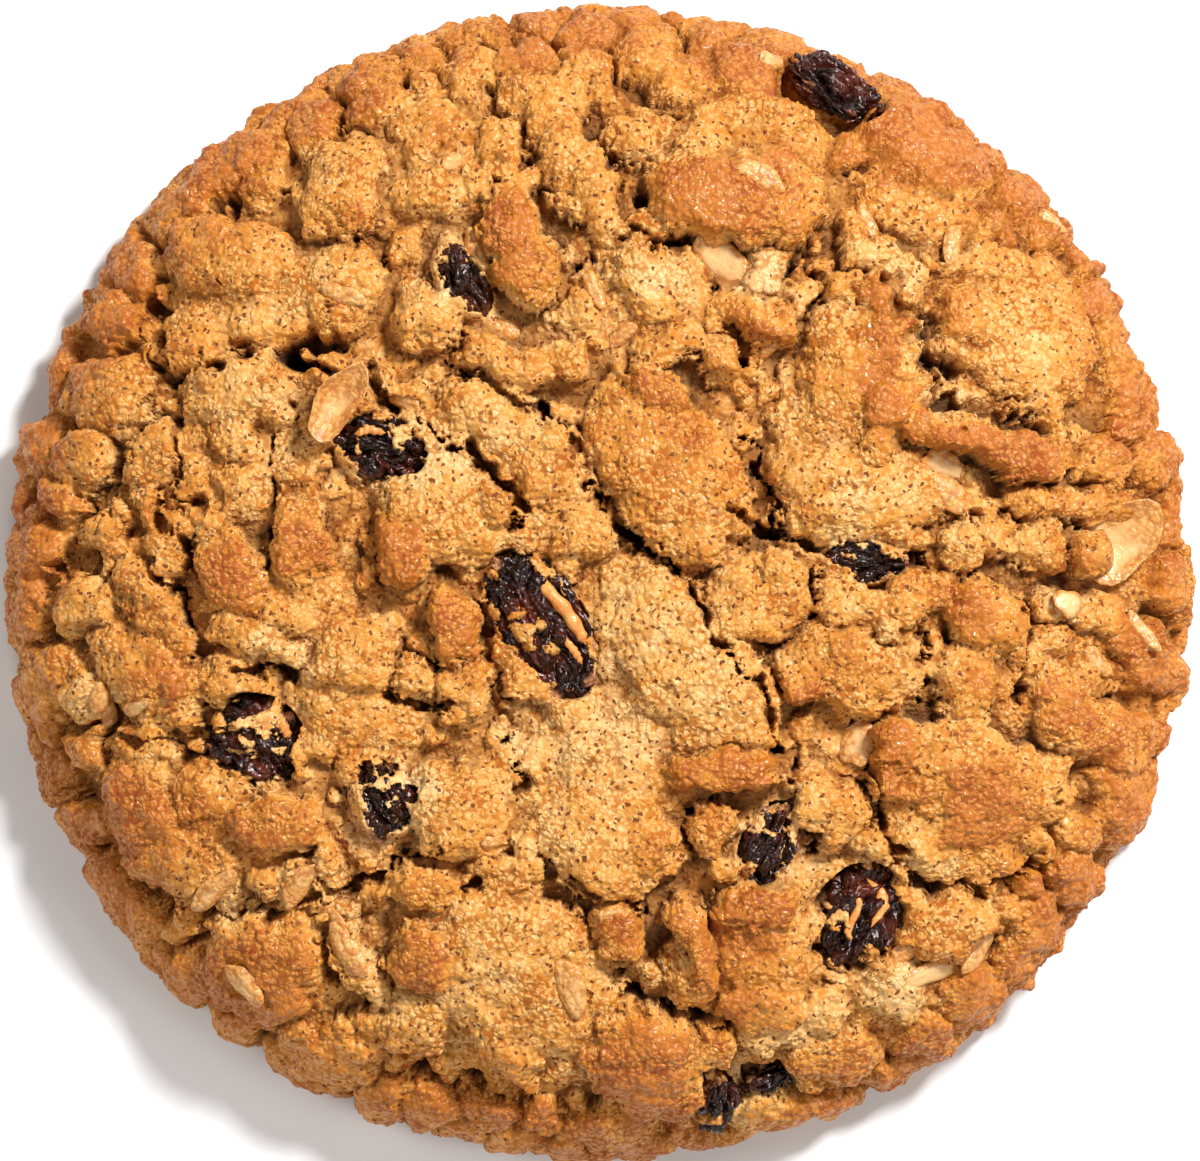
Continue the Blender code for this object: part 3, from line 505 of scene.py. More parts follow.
def overRaisin(number, px, py, grow=0.0):
    # share of the way out to the raisin's edge, and the height of its top, at each point
    length, width, turn, film = raisinShapes[number - 1]
    x, y, z = raisinPlace(number)
    cos, sin = math.cos(math.radians(turn)), math.sin(math.radians(turn))
    p = ((px - x) * cos + (py - y) * sin) / (length / 2 + grow)
    q = (-(px - x) * sin + (py - y) * cos) / (width / 2 + grow)
    d = np.hypot(p, q)
    return d, z + width * raisin["thickness"] / 2 * np.sqrt(np.clip(1 - d ** 2, 0, 1))


# dough covers each raisin but for these openings, as number, x, y, length, width, turn
raisinWindows = [
    (1, 16.3, 37, 6, 3.6, -25), (1, 18.4, 35.7, 6.4, 2.6, -28), (1, 17.2, 34.6, 1.8, 2.6, 0),
    (2, -10, 22.6, 5.4, 2.2, -58), (2, -9, 21, 2, 1.7, 0), (3, -16.5, 10.2, 6.2, 3.6, -10),
    (3, -17.9, 11.5, 3, 1.3, 20), (3, -13.5, 9, 1.8, 1.3, 0), (4, -4.4, -3, 11, 4.6, -60), (4, -6.3, -.3, 2.8, 2.4, 0),
    (4, -1.9, -7.2, 2.2, 2.4, 0), (4, -1.6, -1.8, 4, .9, -65), (5, 19.2, 1.6, 4.8, 2, -12), (5, 21.6, 1.2, 2, 1.4, 0),
    (6, -27, -12.3, 4.8, 2.8, -35), (6, -26.3, -8.9, 3.8, 1.5, 30), (6, -23.3, -10.8, 5, 1.5, 80),
    (6, -24.5, -13.3, 3.6, 2.6, 0), (7, -15.9, -16.5, 3.6, 2.4, -45), (7, -14.3, -15.6, 2, 1, 30),
    (7, -17.6, -14.2, 1.7, 1, 0), (7, -15.7, -13.5, 1.6, 1, 0), (7, -15.4, -17.9, 1.8, 1.5, 0),
    (8, 12.5, -20.3, 4.2, 2, 75), (8, 13.1, -17.7, 3.2, 1.4, 60), (8, 11, -19.7, 1.8, 1.6, 0),
    (9, 18.7, -23.2, 3.6, 3.8, 0), (9, 20.9, -23, 2.8, 4.2, 0), (9, 19.3, -26.2, 6.4, 3.8, 30),
    (10, 8.5, -38, 2.4, 4.4, 0), (11, 12.3, -36.8, 2.9, 2.4, 20),
]
# crumbs of dough stuck on the skin inside the openings
raisinCrumbs = [
    (1, 17.4, 37.9, 1, .8, 0), (1, 17.9, 36.9, .9, .8, 0), (1, 16.1, 36.7, 1.1, .8, 0), (1, 18.7, 36.4, .8, 1, 0),
    (1, 19.8, 35.2, .9, .7, 0), (1, 15.2, 37.6, .7, .6, 0), (3, -14.3, 10.6, 2, 1.4, -20), (3, -17.6, 10.4, 2.4, .6, 50),
    (4, -6, -2.1, 1.4, 1, 0), (4, -5.6, -3.4, 1.8, 1.1, -30), (4, -5.2, -4.6, 1.6, 1, -30), (4, -3.5, -4.8, 1, .7, 0),
    (6, -26, -12.1, 1.6, .8, -30), (6, -24, -12.5, 1, .8, 0), (8, 12.6, -18.9, 1.2, .9, 0), (9, 17.7, -25, 2, 1.2, 60),
    (9, 19.6, -27.4, 1.4, .8, 20), (10, 8.3, -37, .8, .7, 0), (5, 18.4, 1.9, 1, .7, 0), (7, -15.6, -16.2, 1.1, .6, 0),
]


def ovalShare(px, py, x, y, length, width, turn):
    # 0 at the middle of an oval and 1 at its edge
    cos, sin = math.cos(math.radians(turn)), math.sin(math.radians(turn))
    return np.hypot(((px - x) * cos + (py - y) * sin) / (length / 2), (-(px - x) * sin + (py - y) * cos) / (width / 2))


for number, (length, width, turn, film) in enumerate(raisinShapes, 1):
    x, y, z = raisinPlace(number)
    part = window(x, y, length / 2 + 1.5)
    px = seenX[part] + 0.3 * noise(flatX[part], flatY[part], 0.8, 50 + number)
    py = seenY[part] + 0.3 * noise(flatX[part], flatY[part], 0.8, 70 + number)
    d, top = overRaisin(number, baseX[part], baseY[part])
    flatten = np.maximum(normalUp[part], 0.45)
    near = smoothStep(1.15, 0.9, d) * smoothStep(0.6, 0.8, normalUp[part])
    cover = (top + raisin["cover"] - baseZ[part]) / flatten
    height[part] = np.maximum(height[part], cover * near + height[part] * (1 - near))
    shown = np.zeros(px.shape)
    for owner, *oval in raisinWindows:
        if owner == number:
            oval[:2] = seenFrom(*oval[:2])
            shown = np.maximum(shown, smoothStep(1.22, 1.04, ovalShare(px, py, *oval)))
    for owner, *oval in raisinCrumbs:
        if owner == number:
            oval[:2] = seenFrom(*oval[:2])
            shown = shown * smoothStep(0.85, 1.1, ovalShare(px, py, *oval))
    shown *= smoothStep(1.04, 0.98, d) * (normalUp[part] > 0.2)
    height[part] = height[part] * (1 - shown) + np.minimum(height[part], (top - 0.9 - baseZ[part]) / flatten) * shown
    opened[part] = np.maximum(opened[part], 0.6 * smoothStep(0.4, 1.0, shown))

# oat flakes lie bedded in the crust: x, y, length, width, turn, lean in degrees, how far each stands out
nodeFlakes = [(7.0, 5.8, 28, 6, .45), (5.2, 3.2, -38, 8, .15), (4.2, 2.2, -28, 10, .05), (4.4, 1.9, 50, 5, .1),
              (4.6, 2.0, 10, 10, .15), (4, 2.6, 80, 8, .05)]
looseFlakes = [
    (-19.3, 13.3, 6.4, 3.2, 52, 4, .12), (34, -1.6, 2.4, 2.2, 20, 5, .45), (25.4, 8.7, 4.4, 2, -20, 10, .3),
    (-25.6, -28.9, 4.2, 1.9, -55, 8, .1), (-.4, 21.7, 3, 1.4, -65, 20, 0), (-2.2, -29.6, 5, 2.2, -70, 15, .1),
    (-9.2, 24.7, 3.5, 1.5, -65, -20, 0), (26.3, 25.2, 3.6, 1.7, 80, 25, .1), (19.9, 26.8, 3, 1.5, -65, 20, 0),
    (12.4, 38, 2.4, 1.6, 0, 10, 0), (-10.8, 31, 1.9, 1.6, 0, 10, 0), (7.6, 5.9, 3.6, 1.5, -38, 15, .1),
    (27.8, -27, 4, 1.8, 45, -20, 0), (36.8, -5.8, 3, 1.5, -45, 15, .1), (39.6, -3.5, 3.5, 1.4, -55, 20, 0),
    (-22, -22.2, 4, 2, 60, 10, 0), (-18.5, -27, 4.4, 2, -62, 20, 0), (-19.4, -25.4, 3.6, 1.8, -62, 25, 0),
    (1, -24.3, 2.6, 1.4, 10, 15, 0), (-18.9, 21.2, 3.4, 1.6, -20, 10, 0), (11.5, 29.4, 4.2, 2, -25, 10, -.05),
    (-8, -19, 1.9, 1.4, 0, 5, -.1), (1.8, 18.5, 2.6, 1.6, 40, 10, -.1), (-7, 19, 2.4, 1.5, -20, 10, -.1),
    (25.4, 9.2, 3.4, 1.5, -28, 10, 0), (-14.4, 13.4, 3, 1.6, -20, 15, 0), (33, 26.4, 2.4, 1.3, -40, 10, 0),
    (-36.6, -8.4, 2.6, 1.5, 80, 10, .1), (-33.6, -9, 2.6, 1.4, 30, 10, 0), (22.4, -27.4, 2.6, 1.5, 30, 15, 0),
]
flake = {"thickness": 0.5, "count": 2, "bed": 0.15, "rim": 0.08}
flakeChance = np.random.default_rng(77)


def flatSpot(x, y):
    # row and column of the grid point over x, y
    radius = math.hypot(x, y / squeeze)
    run = np.interp(min(radius, form["edge"]), runRadius[:widest], runs[:widest])
    turn = math.atan2(y / squeeze, x)
    row = int(round(run * math.sin(turn) / form["gridStep"] + steps / 2))
    col = int(round(run * math.cos(turn) / form["gridStep"] + steps / 2))
    return row, col


def crustPoint(field, row, col):
    out = baseRadius[row, col] + normalOut[row, col] * field[row, col]
    turn = flatTurn[row, col]
    return Vector((out * math.cos(turn), out * math.sin(turn) * squeeze,
                   baseZ[row, col] + normalUp[row, col] * field[row, col]))


def bedMatrix(field, x, y, turn, lean, stand, level):
    # the place and lie of something flat that rests on the crust at x, y
    row, col = flatSpot(x, y)
    reachCells = int(0.8 / form["gridStep"])
    alongX = crustPoint(field, row, col + reachCells) - crustPoint(field, row, col - reachCells)
    alongY = crustPoint(field, row + reachCells, col) - crustPoint(field, row - reachCells, col)
    upright = alongX.cross(alongY).normalized().lerp(Vector((0, 0, 1)), level).normalized()
    forward = Vector((math.cos(math.radians(turn)), math.sin(math.radians(turn)), 0))
    forward = (forward - upright * forward.dot(upright)).normalized()
    lie = Matrix((forward, upright.cross(forward), upright)).transposed().to_4x4()
    lie = lie @ Matrix.Rotation(math.radians(lean), 4, "X")
    lie.translation = crustPoint(field, row, col) + upright * stand
    return lie


settled = blurred(height, 0.9)
flakeLies = []  # name of the node it stands for, length, width, matrix
for number, (length, width, turn, lean, stand) in enumerate(nodeFlakes, 1):
    low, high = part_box(f"oat_flake_{number:02d}")
    x, y = (low[0] + high[0]) / 2 / mm, (low[1] + high[1]) / 2 / mm + 0.5 * (number == 1)
    flakeLies.append((f"oat_flake_{number:02d}", x, y, length, width, turn, lean, stand))
for x, y, length, width, turn, lean, stand in looseFlakes:
    x, y = seenFrom(x, y)
    flakeLies.append(("", x, y, length, width, turn, lean, stand))
for number in range(flake["count"]):
    out = math.sqrt((number + 0.5) / flake["count"]) * (form["edge"] - 2)
    x = out * math.cos(number * golden + 1) + flakeChance.uniform(-2, 2)
    y = out * math.sin(number * golden + 1) * squeeze + flakeChance.uniform(-2, 2)
    length = flakeChance.uniform(1.6, 3.2)
    flakeLies.append(("", x, y, length, length * flakeChance.uniform(0.4, 0.65), flakeChance.uniform(0, 180),
                      flakeChance.uniform(-25, 25), flakeChance.uniform(-0.2, -0.01)))

bare = np.zeros(flatX.shape)
for node, x, y, length, width, turn, lean, stand in flakeLies:
    part = window(x, y, length / 2 + 0.5)
    gx, gy = seenX[part] - x, seenY[part] - y
    cos, sin = math.cos(math.radians(turn)), math.sin(math.radians(turn))
    d = np.hypot((gx * cos + gy * sin) / (length / 2), (-gx * sin + gy * cos) / (width / 2))
    inside = smoothStep(1.0, 0.85, d)
    bare[part] = np.maximum(bare[part], inside)
    height[part] = height[part] * (1 - inside) + np.minimum(height[part], settled[part] - flake["bed"]) * inside
    height[part] += flake["rim"] * np.exp(-((d - 1.08) / 0.12) ** 2)

# crumb: sandy grains, clumps of grains, coarser knobs under them, and pores between
crumb = {"coarse": 0.19, "coarsePitch": 1.6, "clump": 0.21, "grain": 0.19, "uneven": 0.12, "swell": 0.18}
near, toX, toY, own = cells(flatX + 0.5 * warpX, flatY + 0.5 * warpY, crumb["coarsePitch"], 31)
height += (1 - bare) * crumb["coarse"] * (own * 1.2 - 0.2) * (np.sqrt(np.clip(1 - near ** 2, 0, 1)) - 0.7)
height += (1 - bare) * crumb["clump"] * (clumpOwn - 0.5 + 0.9 * (np.sqrt(np.clip(1 - clumpNear ** 2, 0, 1)) - 0.75))
sandy = 0.55 + 0.45 * smoothStep(-0.35, 0.25, noise(flatX, flatY, 4.5, 35))
height += (1 - bare) * sandy * (crumb["grain"] * (grainTop - 0.65) + crumb["uneven"] * (grainOwn - 0.5))
height += (1 - bare) * crumb["swell"] * noise(flatX, flatY, 1.9, 36)

# keep clear of the limits of the real size
most = np.minimum((form["top"] - baseZ) / np.maximum(normalUp, 0.3), 3.0)
height = np.where(height > most - 0.3, most - 0.3 * np.exp(-np.maximum(height - most + 0.3, 0) / 0.3), height)
lowNear = blurred(height, 1.0)
lowWide = blurred(height, 3.5)
# cavity is high on ridges and low in hollows; the dough material darkens its low end as painted shade
cavity = np.clip(0.5 + 0.55 * (height - lowNear) + 0.28 * (height - lowWide), 0, 1)
# painted shade: deep valleys, cracks and openings are marked here, and the dough material paints them nearly black
paintedCreviceShade = np.clip(0.9 * smoothStep(-0.7, -2.2, height - lowWide) + 0.25 * opened, 0, 1)

# how warmly each place is baked, from 0 pale to 1 toasted: the high spots and the rim first
# toasted spots, as x, y, length, width, turn, strength
toastSpots = [
    (7.9, 28.6, 9, 5.4, -8, .8), (23.5, 31, 12, 6, -20, .6), (20.4, 15.6, 3.8, 11, 5, 1), (27, 10, 13, 3.4, -18, 1),
    (27.4, 19.3, 4, 3, 0, .4), (3.5, 12.7, 8, 5, -20, .35), (-.9, 10.9, 2.4, 2, 0, .4), (6.6, 13.1, 2.4, 2, 0, .4),
    (4.8, 8.3, 2.4, 2, 0, .4), (11.5, 18.5, 5, 3, -20, .4), (-6.7, 25.5, 3.4, 8, -8, .7), (-11, 33, 5, 4, 0, .4),
    (-2, 40, 11, 4, 10, .6), (7.9, 38.8, 5, 3, 0, .6), (12.4, 37.3, 6, 3.4, 0, .5), (-34.5, 21, 5, 6, 20, .6),
    (-27.5, 30, 9, 4, 42, .5), (-41.5, 3, 4, 12, 5, .5), (-40, 10, 4, 6, -10, .4), (-16, 2.4, 5.6, 5.6, 0, .7),
    (-22, 2.6, 5, 5, 0, .4), (-26.8, .3, 6, 5, -60, .4), (-10.2, -5, 4, 5, 0, .4), (-34.5, -3, 7, 4, -50, .3),
    (-32, -7.4, 4.6, 3.6, -40, .6), (-31, -17.6, 14, 5, -8, .6), (-24, -28.9, 10, 7.4, -25, .6), (-13, -28, 5, 4, 0, .4),
    (-5.4, -30.4, 4, 3.4, 0, .5), (2.2, -25.4, 3.4, 3, 0, .5), (5.4, -14.8, 4, 3, 0, .6), (11, -13.8, 5, 3, 0, .4),
    (10.6, -25, 7, 6, 20, .7), (8.8, -31, 4, 6, -30, .5), (2.8, -36, 7.5, 6.5, -50, .9), (21.4, -12.2, 4, 4, 0, .8),
    (14.6, -8, 4, 3, 0, .5), (17.8, -6, 6, 3, -10, .4), (26.5, -1.5, 5, 3, -20, .5), (28.4, -6, 4, 4, 0, .4),
    (27.6, -16.4, 7, 7.4, -35, .8), (34.6, -8.8, 4.6, 4.4, -60, .6), (41, 3, 3, 7, 0, .5), (39.6, -6, 4, 9, 15, .6),
    (38, -15, 4, 8, 20, .5), (33.6, -23, 6, 8, 45, .4), (29, -29, 9, 5, 50, .4), (38.8, 12, 4, 9, -20, .6),
    (33.4, 2.8, 3, 2.4, 0, .5), (-9, -38, 12, 3, -5, .5), (-36, -21.8, 8, 3, -55, .5), (31, 28, 9, 4, -45, .4),
    (-19, 34.6, 8, 3, 25, .4), (36, 21, 4, 8, -35, .3), (17, -35, 6, 3, 10, .2), (-31, 14.6, 4, 6, 0, .2),
]
# pale spots, such as the dough that was shut round the raisins
paleSpots = [
    (-10.6, 23.4, 4.4, 7, 10, .8), (3.9, 23.3, 6, 4, -20, .6), (11.4, 22.9, 6.5, 4, -30, .9), (23, 18, 2.4, 7, -15, .7),
    (26.5, 12.9, 8, 2, -20, .6), (-13.6, 9.2, 10, 5.4, 8, .7), (-20, 14, 9, 3, 20, .4), (19.4, 2.2, 7, 4, 0, .6),
    (21, 6.6, 8, 5, 0, .4), (34, -1, 4, 3, 0, .6), (-37.7, -8.6, 3, 4, 0, .6), (-23, -5, 6, 4, 0, .5),
    (-25, -11.6, 9, 8, -40, .4), (-15.5, -16, 8, 7.4, -60, .8), (-2, -10, 12, 12, 0, .4), (5, -3, 14, 7, -50, .3),
    (13, -19, 8, 6, 60, .7), (19.5, -22, 8, 6, 40, .5), (-27, 14.4, 9, 6, 0, .3), (10.4, -37.4, 8, 5, 10, .8),
    (-18, -26, 3, 10, 25, .4), (-7.5, -27, 10, 6, -40, .2), (12.6, -33.6, 8, 3, 10, .4), (22, -30, 7, 4, -30, .5),
    (24, -21, 5, 5, 0, .4), (-3, 18.6, 12, 4, -15, .4), (-12.6, 20.4, 6, 5, 0, .3), (21.4, 23, 8, 4, -35, .4),
    (-6, 13, 10, 5, -25, .3), (-28, -23.4, 8, 3, 0, .3), (26.4, 3, 6, 5, 0, .3), (-4, -18, 9, 5, -40, .2),
]


def spotted(spots):
    field = np.zeros(flatX.shape)
    for x, y, length, width, turn, strength in spots:
        x, y = seenFrom(x, y)
        part = window(x, y, max(length, width))
        gx = baseX[part] + 1.6 * warpX[part] - x
        gy = baseY[part] + 1.6 * warpY[part] - y
        cos, sin = math.cos(math.radians(turn)), math.sin(math.radians(turn))
        d = np.hypot((gx * cos + gy * sin) / (length / 2), (-gx * sin + gy * cos) / (width / 2))
        field[part] = np.maximum(field[part], strength * smoothStep(1.35, 0.35, d))
    return field


rim = smoothStep(0.80, 0.97, baseRadius / form["edge"] + 0.05 * noise(flatX, flatY, 6.0, 38))
warmth = 0.50 + 0.45 * (toast - 0.35) + 0.30 * (cavity - 0.5) + 0.16 * noise(flatX, flatY, 2.4, 39)
warmth += 0.16 * noise(flatX, flatY, 7.0, 40) + 0.20 * rim
warmth += spotted(toastSpots) * (0.25 + 0.5 * smoothStep(0.3, 0.7, cavity)) - 0.6 * spotted(paleSpots)
warmth += 0.10 * (grainOwn - 0.5)
warmth = np.clip(warmth, 0, 1)
print("crumb: height from", round(float(height.min()), 2), "to", round(float(height.max()), 2))

# the last ring meets the underside and rests on the table
outward = normalOut * height * smoothStep(reach, reach - 0.8, flatRun)
pointX = (baseRadius + outward) * np.cos(flatTurn)
pointY = (baseRadius + outward) * np.sin(flatTurn) * squeeze
pointZ = baseZ + normalUp * height
foot = smoothStep(reach, reach - 1.2, flatRun)
pointZ = np.maximum(pointZ * foot, 0.0)


# ---- dough patches, each a grid primitive moved into shape
def buildPatch(name, rows, cols):
    deselectAll()
    across, down = cols.stop - cols.start, rows.stop - rows.start
    bpy.ops.mesh.primitive_grid_add(x_subdivisions=across - 1, y_subdivisions=down - 1, size=1)
    patch = bpy.context.object
    patch.name = name
    patch.data.name = name
    count = across * down
    points = np.empty((count, 3), dtype=np.float32)
    points[:, 0] = pointX[rows, cols].ravel() * mm
    points[:, 1] = pointY[rows, cols].ravel() * mm
    points[:, 2] = pointZ[rows, cols].ravel() * mm
    patch.data.vertices.foreach_set("co", points.ravel())
    for label, field in (("warmth", warmth), ("cavity", cavity), ("paintedCreviceShade", paintedCreviceShade)):
        layer = patch.data.attributes.new(label, "FLOAT", "POINT")
        layer.data.foreach_set("value", field[rows, cols].ravel().astype(np.float32))
    # drop the faces beyond the foot
    outside = (np.hypot(flatX, flatY) > reach + form["gridStep"] * 0.9)[rows, cols].ravel()
    bpy.ops.object.mode_set(mode="EDIT")
    bpy.ops.mesh.select_mode(type="VERT")
    bpy.ops.mesh.select_all(action="DESELECT")
    bpy.ops.object.mode_set(mode="OBJECT")
    patch.data.vertices.foreach_set("select", outside)
    bpy.ops.object.mode_set(mode="EDIT")
    bpy.ops.mesh.delete(type="VERT")
    bpy.ops.object.mode_set(mode="OBJECT")
    patch.data.update()
    bpy.ops.object.shade_smooth()
    return patch


# ---- materials
def newMaterial(name):
    material = bpy.data.materials.new(name)
    material.use_nodes = True
    return material, material.node_tree.nodes, material.node_tree.links


def addNode(nodes, kind, **values):
    node = nodes.new(kind)
    for key, value in values.items():
        setattr(node, key, value)
    return node


class Kit:
    # short ways to add and link nodes in one material
    def __init__(self, name):
        self.material, self.nodes, self.links = newMaterial(name)
        self.shader = self.nodes["Principled BSDF"]
        self.coords = addNode(self.nodes, "ShaderNodeTexCoord").outputs["Object"]

    def feed(self, socket, value):
        if isinstance(value, (int, float)):
            socket.default_value = value
        elif isinstance(value, tuple):
            socket.default_value = (*value, 1)
        else:
            self.links.new(value, socket)

    def attribute(self, label):
        return addNode(self.nodes, "ShaderNodeAttribute", attribute_name=label).outputs["Fac"]

    def math(self, kind, first, second=0.5, clamp=False):
        node = addNode(self.nodes, "ShaderNodeMath", operation=kind, use_clamp=clamp)
        self.feed(node.inputs[0], first)
        self.feed(node.inputs[1], second)
        return node.outputs[0]

    def noise(self, scale, detail=3.0, roughness=0.6):
        node = addNode(self.nodes, "ShaderNodeTexNoise")
        node.inputs["Scale"].default_value = scale
        node.inputs["Detail"].default_value = detail
        node.inputs["Roughness"].default_value = roughness
        self.links.new(self.coords, node.inputs["Vector"])
        return node.outputs["Fac"]

    def mix(self, share, first, second):
        node = addNode(self.nodes, "ShaderNodeMix", data_type="RGBA")
        self.feed(node.inputs[0], share)
        self.feed(node.inputs[6], first)
        self.feed(node.inputs[7], second)
        return node.outputs[2]

    def mixMultiply(self, share, first, second):
        node = addNode(self.nodes, "ShaderNodeMix", data_type="RGBA", blend_type="MULTIPLY")
        self.feed(node.inputs[0], share)
        self.feed(node.inputs[6], first)
        self.feed(node.inputs[7], second)
        return node.outputs[2]

    def ramp(self, value, low, high, toLow=0.0, toHigh=1.0):
        node = addNode(self.nodes, "ShaderNodeMapRange", interpolation_type="SMOOTHSTEP")
        for label, number in (("From Min", low), ("From Max", high), ("To Min", toLow), ("To Max", toHigh)):
            node.inputs[label].default_value = number
        self.links.new(value, node.inputs["Value"])
        return node.outputs["Result"]

    def ladder(self, value, stops):
        node = addNode(self.nodes, "ShaderNodeValToRGB")
        steps = node.color_ramp.elements
        while len(steps) < len(stops):
            steps.new(0.5)
        for step, (place, colour) in zip(steps, stops):
            step.position = place
            step.color = (*colour, 1)
        self.links.new(value, node.inputs["Fac"])
        return node.outputs["Color"]

    def grains(self, scale):
        node = addNode(self.nodes, "ShaderNodeGroup", node_tree=grainGroup)
        node.inputs["Scale"].default_value = scale
        self.links.new(self.coords, node.inputs["Vector"])
        return [node.outputs[label] for label in ("Tint", "Seam", "Rise", "Hole")]

    def bump(self, height, strength, distance):
        node = addNode(self.nodes, "ShaderNodeBump")
        self.feed(node.inputs["Strength"], strength)
        node.inputs["Distance"].default_value = distance
        self.links.new(height, node.inputs["Height"])
        self.links.new(node.outputs["Normal"], self.shader.inputs["Normal"])


def buildGrainGroup():
    # fine baked grains: a random tint for each, the thin seams between them, and their rounded rise
    group = bpy.data.node_groups.new("crumbGrains", "ShaderNodeTree")
    group.interface.new_socket("Vector", in_out="INPUT", socket_type="NodeSocketVector")
    group.interface.new_socket("Scale", in_out="INPUT", socket_type="NodeSocketFloat")
    for label in ("Tint", "Seam", "Rise", "Hole"):
        group.interface.new_socket(label, in_out="OUTPUT", socket_type="NodeSocketFloat")
    nodes, links = group.nodes, group.links
    ins, outs = addNode(nodes, "NodeGroupInput"), addNode(nodes, "NodeGroupOutput")
    wobble = addNode(nodes, "ShaderNodeTexNoise")
    wobble.inputs["Detail"].default_value = 0.0
    links.new(ins.outputs["Vector"], wobble.inputs["Vector"])
    links.new(ins.outputs["Scale"], wobble.inputs["Scale"])
    shift = addNode(nodes, "ShaderNodeVectorMath", operation="SUBTRACT")
    links.new(wobble.outputs["Color"], shift.inputs[0])
    shift.inputs[1].default_value = (0.5, 0.5, 0.5)
    small = addNode(nodes, "ShaderNodeVectorMath", operation="SCALE")
    links.new(shift.outputs[0], small.inputs[0])
    small.inputs["Scale"].default_value = 0.0004
    moved = addNode(nodes, "ShaderNodeVectorMath", operation="ADD")
    links.new(ins.outputs["Vector"], moved.inputs[0])
    links.new(small.outputs[0], moved.inputs[1])
    cell = addNode(nodes, "ShaderNodeTexVoronoi", feature="F1")
    links.new(moved.outputs[0], cell.inputs["Vector"])
    links.new(ins.outputs["Scale"], cell.inputs["Scale"])
    apart = addNode(nodes, "ShaderNodeSeparateColor")
    links.new(cell.outputs["Color"], apart.inputs[0])
    links.new(apart.outputs[0], outs.inputs["Tint"])
    for label, low, high in (("Seam", 0.42, 0.75), ("Rise", 0.75, 0.0)):
        span = addNode(nodes, "ShaderNodeMapRange", interpolation_type="SMOOTHSTEP")
        span.inputs["From Min"].default_value = low
        span.inputs["From Max"].default_value = high
        links.new(cell.outputs["Distance"], span.inputs["Value"])
        links.new(span.outputs["Result"], outs.inputs[label])
    # small holes lie further apart than the grains
    apartness = addNode(nodes, "ShaderNodeMath", operation="MULTIPLY")
    links.new(ins.outputs["Scale"], apartness.inputs[0])
    apartness.inputs[1].default_value = 0.62
    spot = addNode(nodes, "ShaderNodeTexVoronoi", feature="F1")
    links.new(moved.outputs[0], spot.inputs["Vector"])
    links.new(apartness.outputs[0], spot.inputs["Scale"])
    hole = addNode(nodes, "ShaderNodeMapRange", interpolation_type="SMOOTHSTEP")
    for label, number in (("From Min", 0.19), ("From Max", 0.29), ("To Min", 1.0), ("To Max", 0.0)):
        hole.inputs[label].default_value = number
    links.new(spot.outputs["Distance"], hole.inputs["Value"])
    links.new(hole.outputs["Result"], outs.inputs["Hole"])
    return group


grainGroup = buildGrainGroup()
bakeLadder = [(0.0, (0.69, 0.435, 0.18)), (0.25, (0.66, 0.365, 0.11)), (0.5, (0.615, 0.275, 0.045)),
              (0.75, (0.550, 0.208, 0.019)), (1.0, (0.45, 0.135, 0.009))]


def buildDoughMaterial():
    kit = Kit("bakedDough")
    cream, paintedCreviceShadow, paintedHollowShade, paintedPinholeShade = (0.85, 0.555, 0.275), (0.07, 0.024, 0.006), (0.52, 0.37, 0.20), (0.15, 0.034, 0.004)
    attribute, times, noise, mix, ramp = kit.attribute, kit.math, kit.noise, kit.mix, kit.ramp
    tint, seam, rise, hole = kit.grains(2500)
    patchy = noise(900, 2)
    warm = times("ADD", attribute("warmth"), times("MULTIPLY", times("SUBTRACT", patchy, 0.5), 0.45))
    colour = kit.ladder(warm, bakeLadder)
    # pale in the middle of a grain, partly the grains' own paler tone and partly painted light on their rounded tops;
    # golden where grains meet
    milky = times("MULTIPLY", ramp(tint, 0.1, 0.9, 0.05, 0.55), ramp(attribute("warmth"), 0.85, 0.4, 0.25, 1.0))
    colour = mix(times("MULTIPLY", rise, milky), colour, cream)
    # some places are smooth with small holes, others all grains
    pattern = noise(300, 2)
    # painted shade: the seams between grains are darkened
    colour = kit.mixMultiply(times("MULTIPLY", seam, ramp(pattern, 0.35, 0.62, 1.0, 0.35)), colour, (0.60, 0.37, 0.14))
    # painted shade: hollows lower than their neighbours are darkened
    colour = kit.mixMultiply(ramp(attribute("cavity"), 0.52, 0.12, 0.0, 0.85), colour, paintedHollowShade)
    # pinholes are only painted: dark spots of painted shade, with no hole in the mesh
    pore = times("MULTIPLY", hole, ramp(pattern, 0.26, 0.46))
    pore = times("MULTIPLY", pore, ramp(attribute("warmth"), 1.0, 0.7, 0.3, 1.0))
    colour = mix(times("MULTIPLY", pore, 0.97), colour, paintedPinholeShade)
    # painted shadow: deep crevices and cracks are mixed towards near-black
    colour = mix(times("MULTIPLY", attribute("paintedCreviceShade"), 0.92), colour, paintedCreviceShadow)
    kit.feed(kit.shader.inputs["Base Color"], colour)
    # pale dough is dull and toasted dough shines
    rough = times("ADD", ramp(attribute("warmth"), 0.35, 0.85, 0.60, 0.34), ramp(patchy, 0.35, 0.65, -0.15, 0.15))
    rough = times("ADD", rough, times("MULTIPLY", times("MAXIMUM", seam, pore), 0.4))
    rough = times("ADD", rough, ramp(attribute("cavity"), 0.5, 0.25, 0.0, 0.35))
    kit.feed(kit.shader.inputs["Roughness"], times("ADD", rough, times("MULTIPLY", attribute("paintedCreviceShade"), 0.4), clamp=True))
    kit.bump(rise, ramp(pattern, 0.35, 0.62, 1.0, 0.55), 0.00012)
    kit.shader.inputs["Specular IOR Level"].default_value = 0.4
    return kit.material


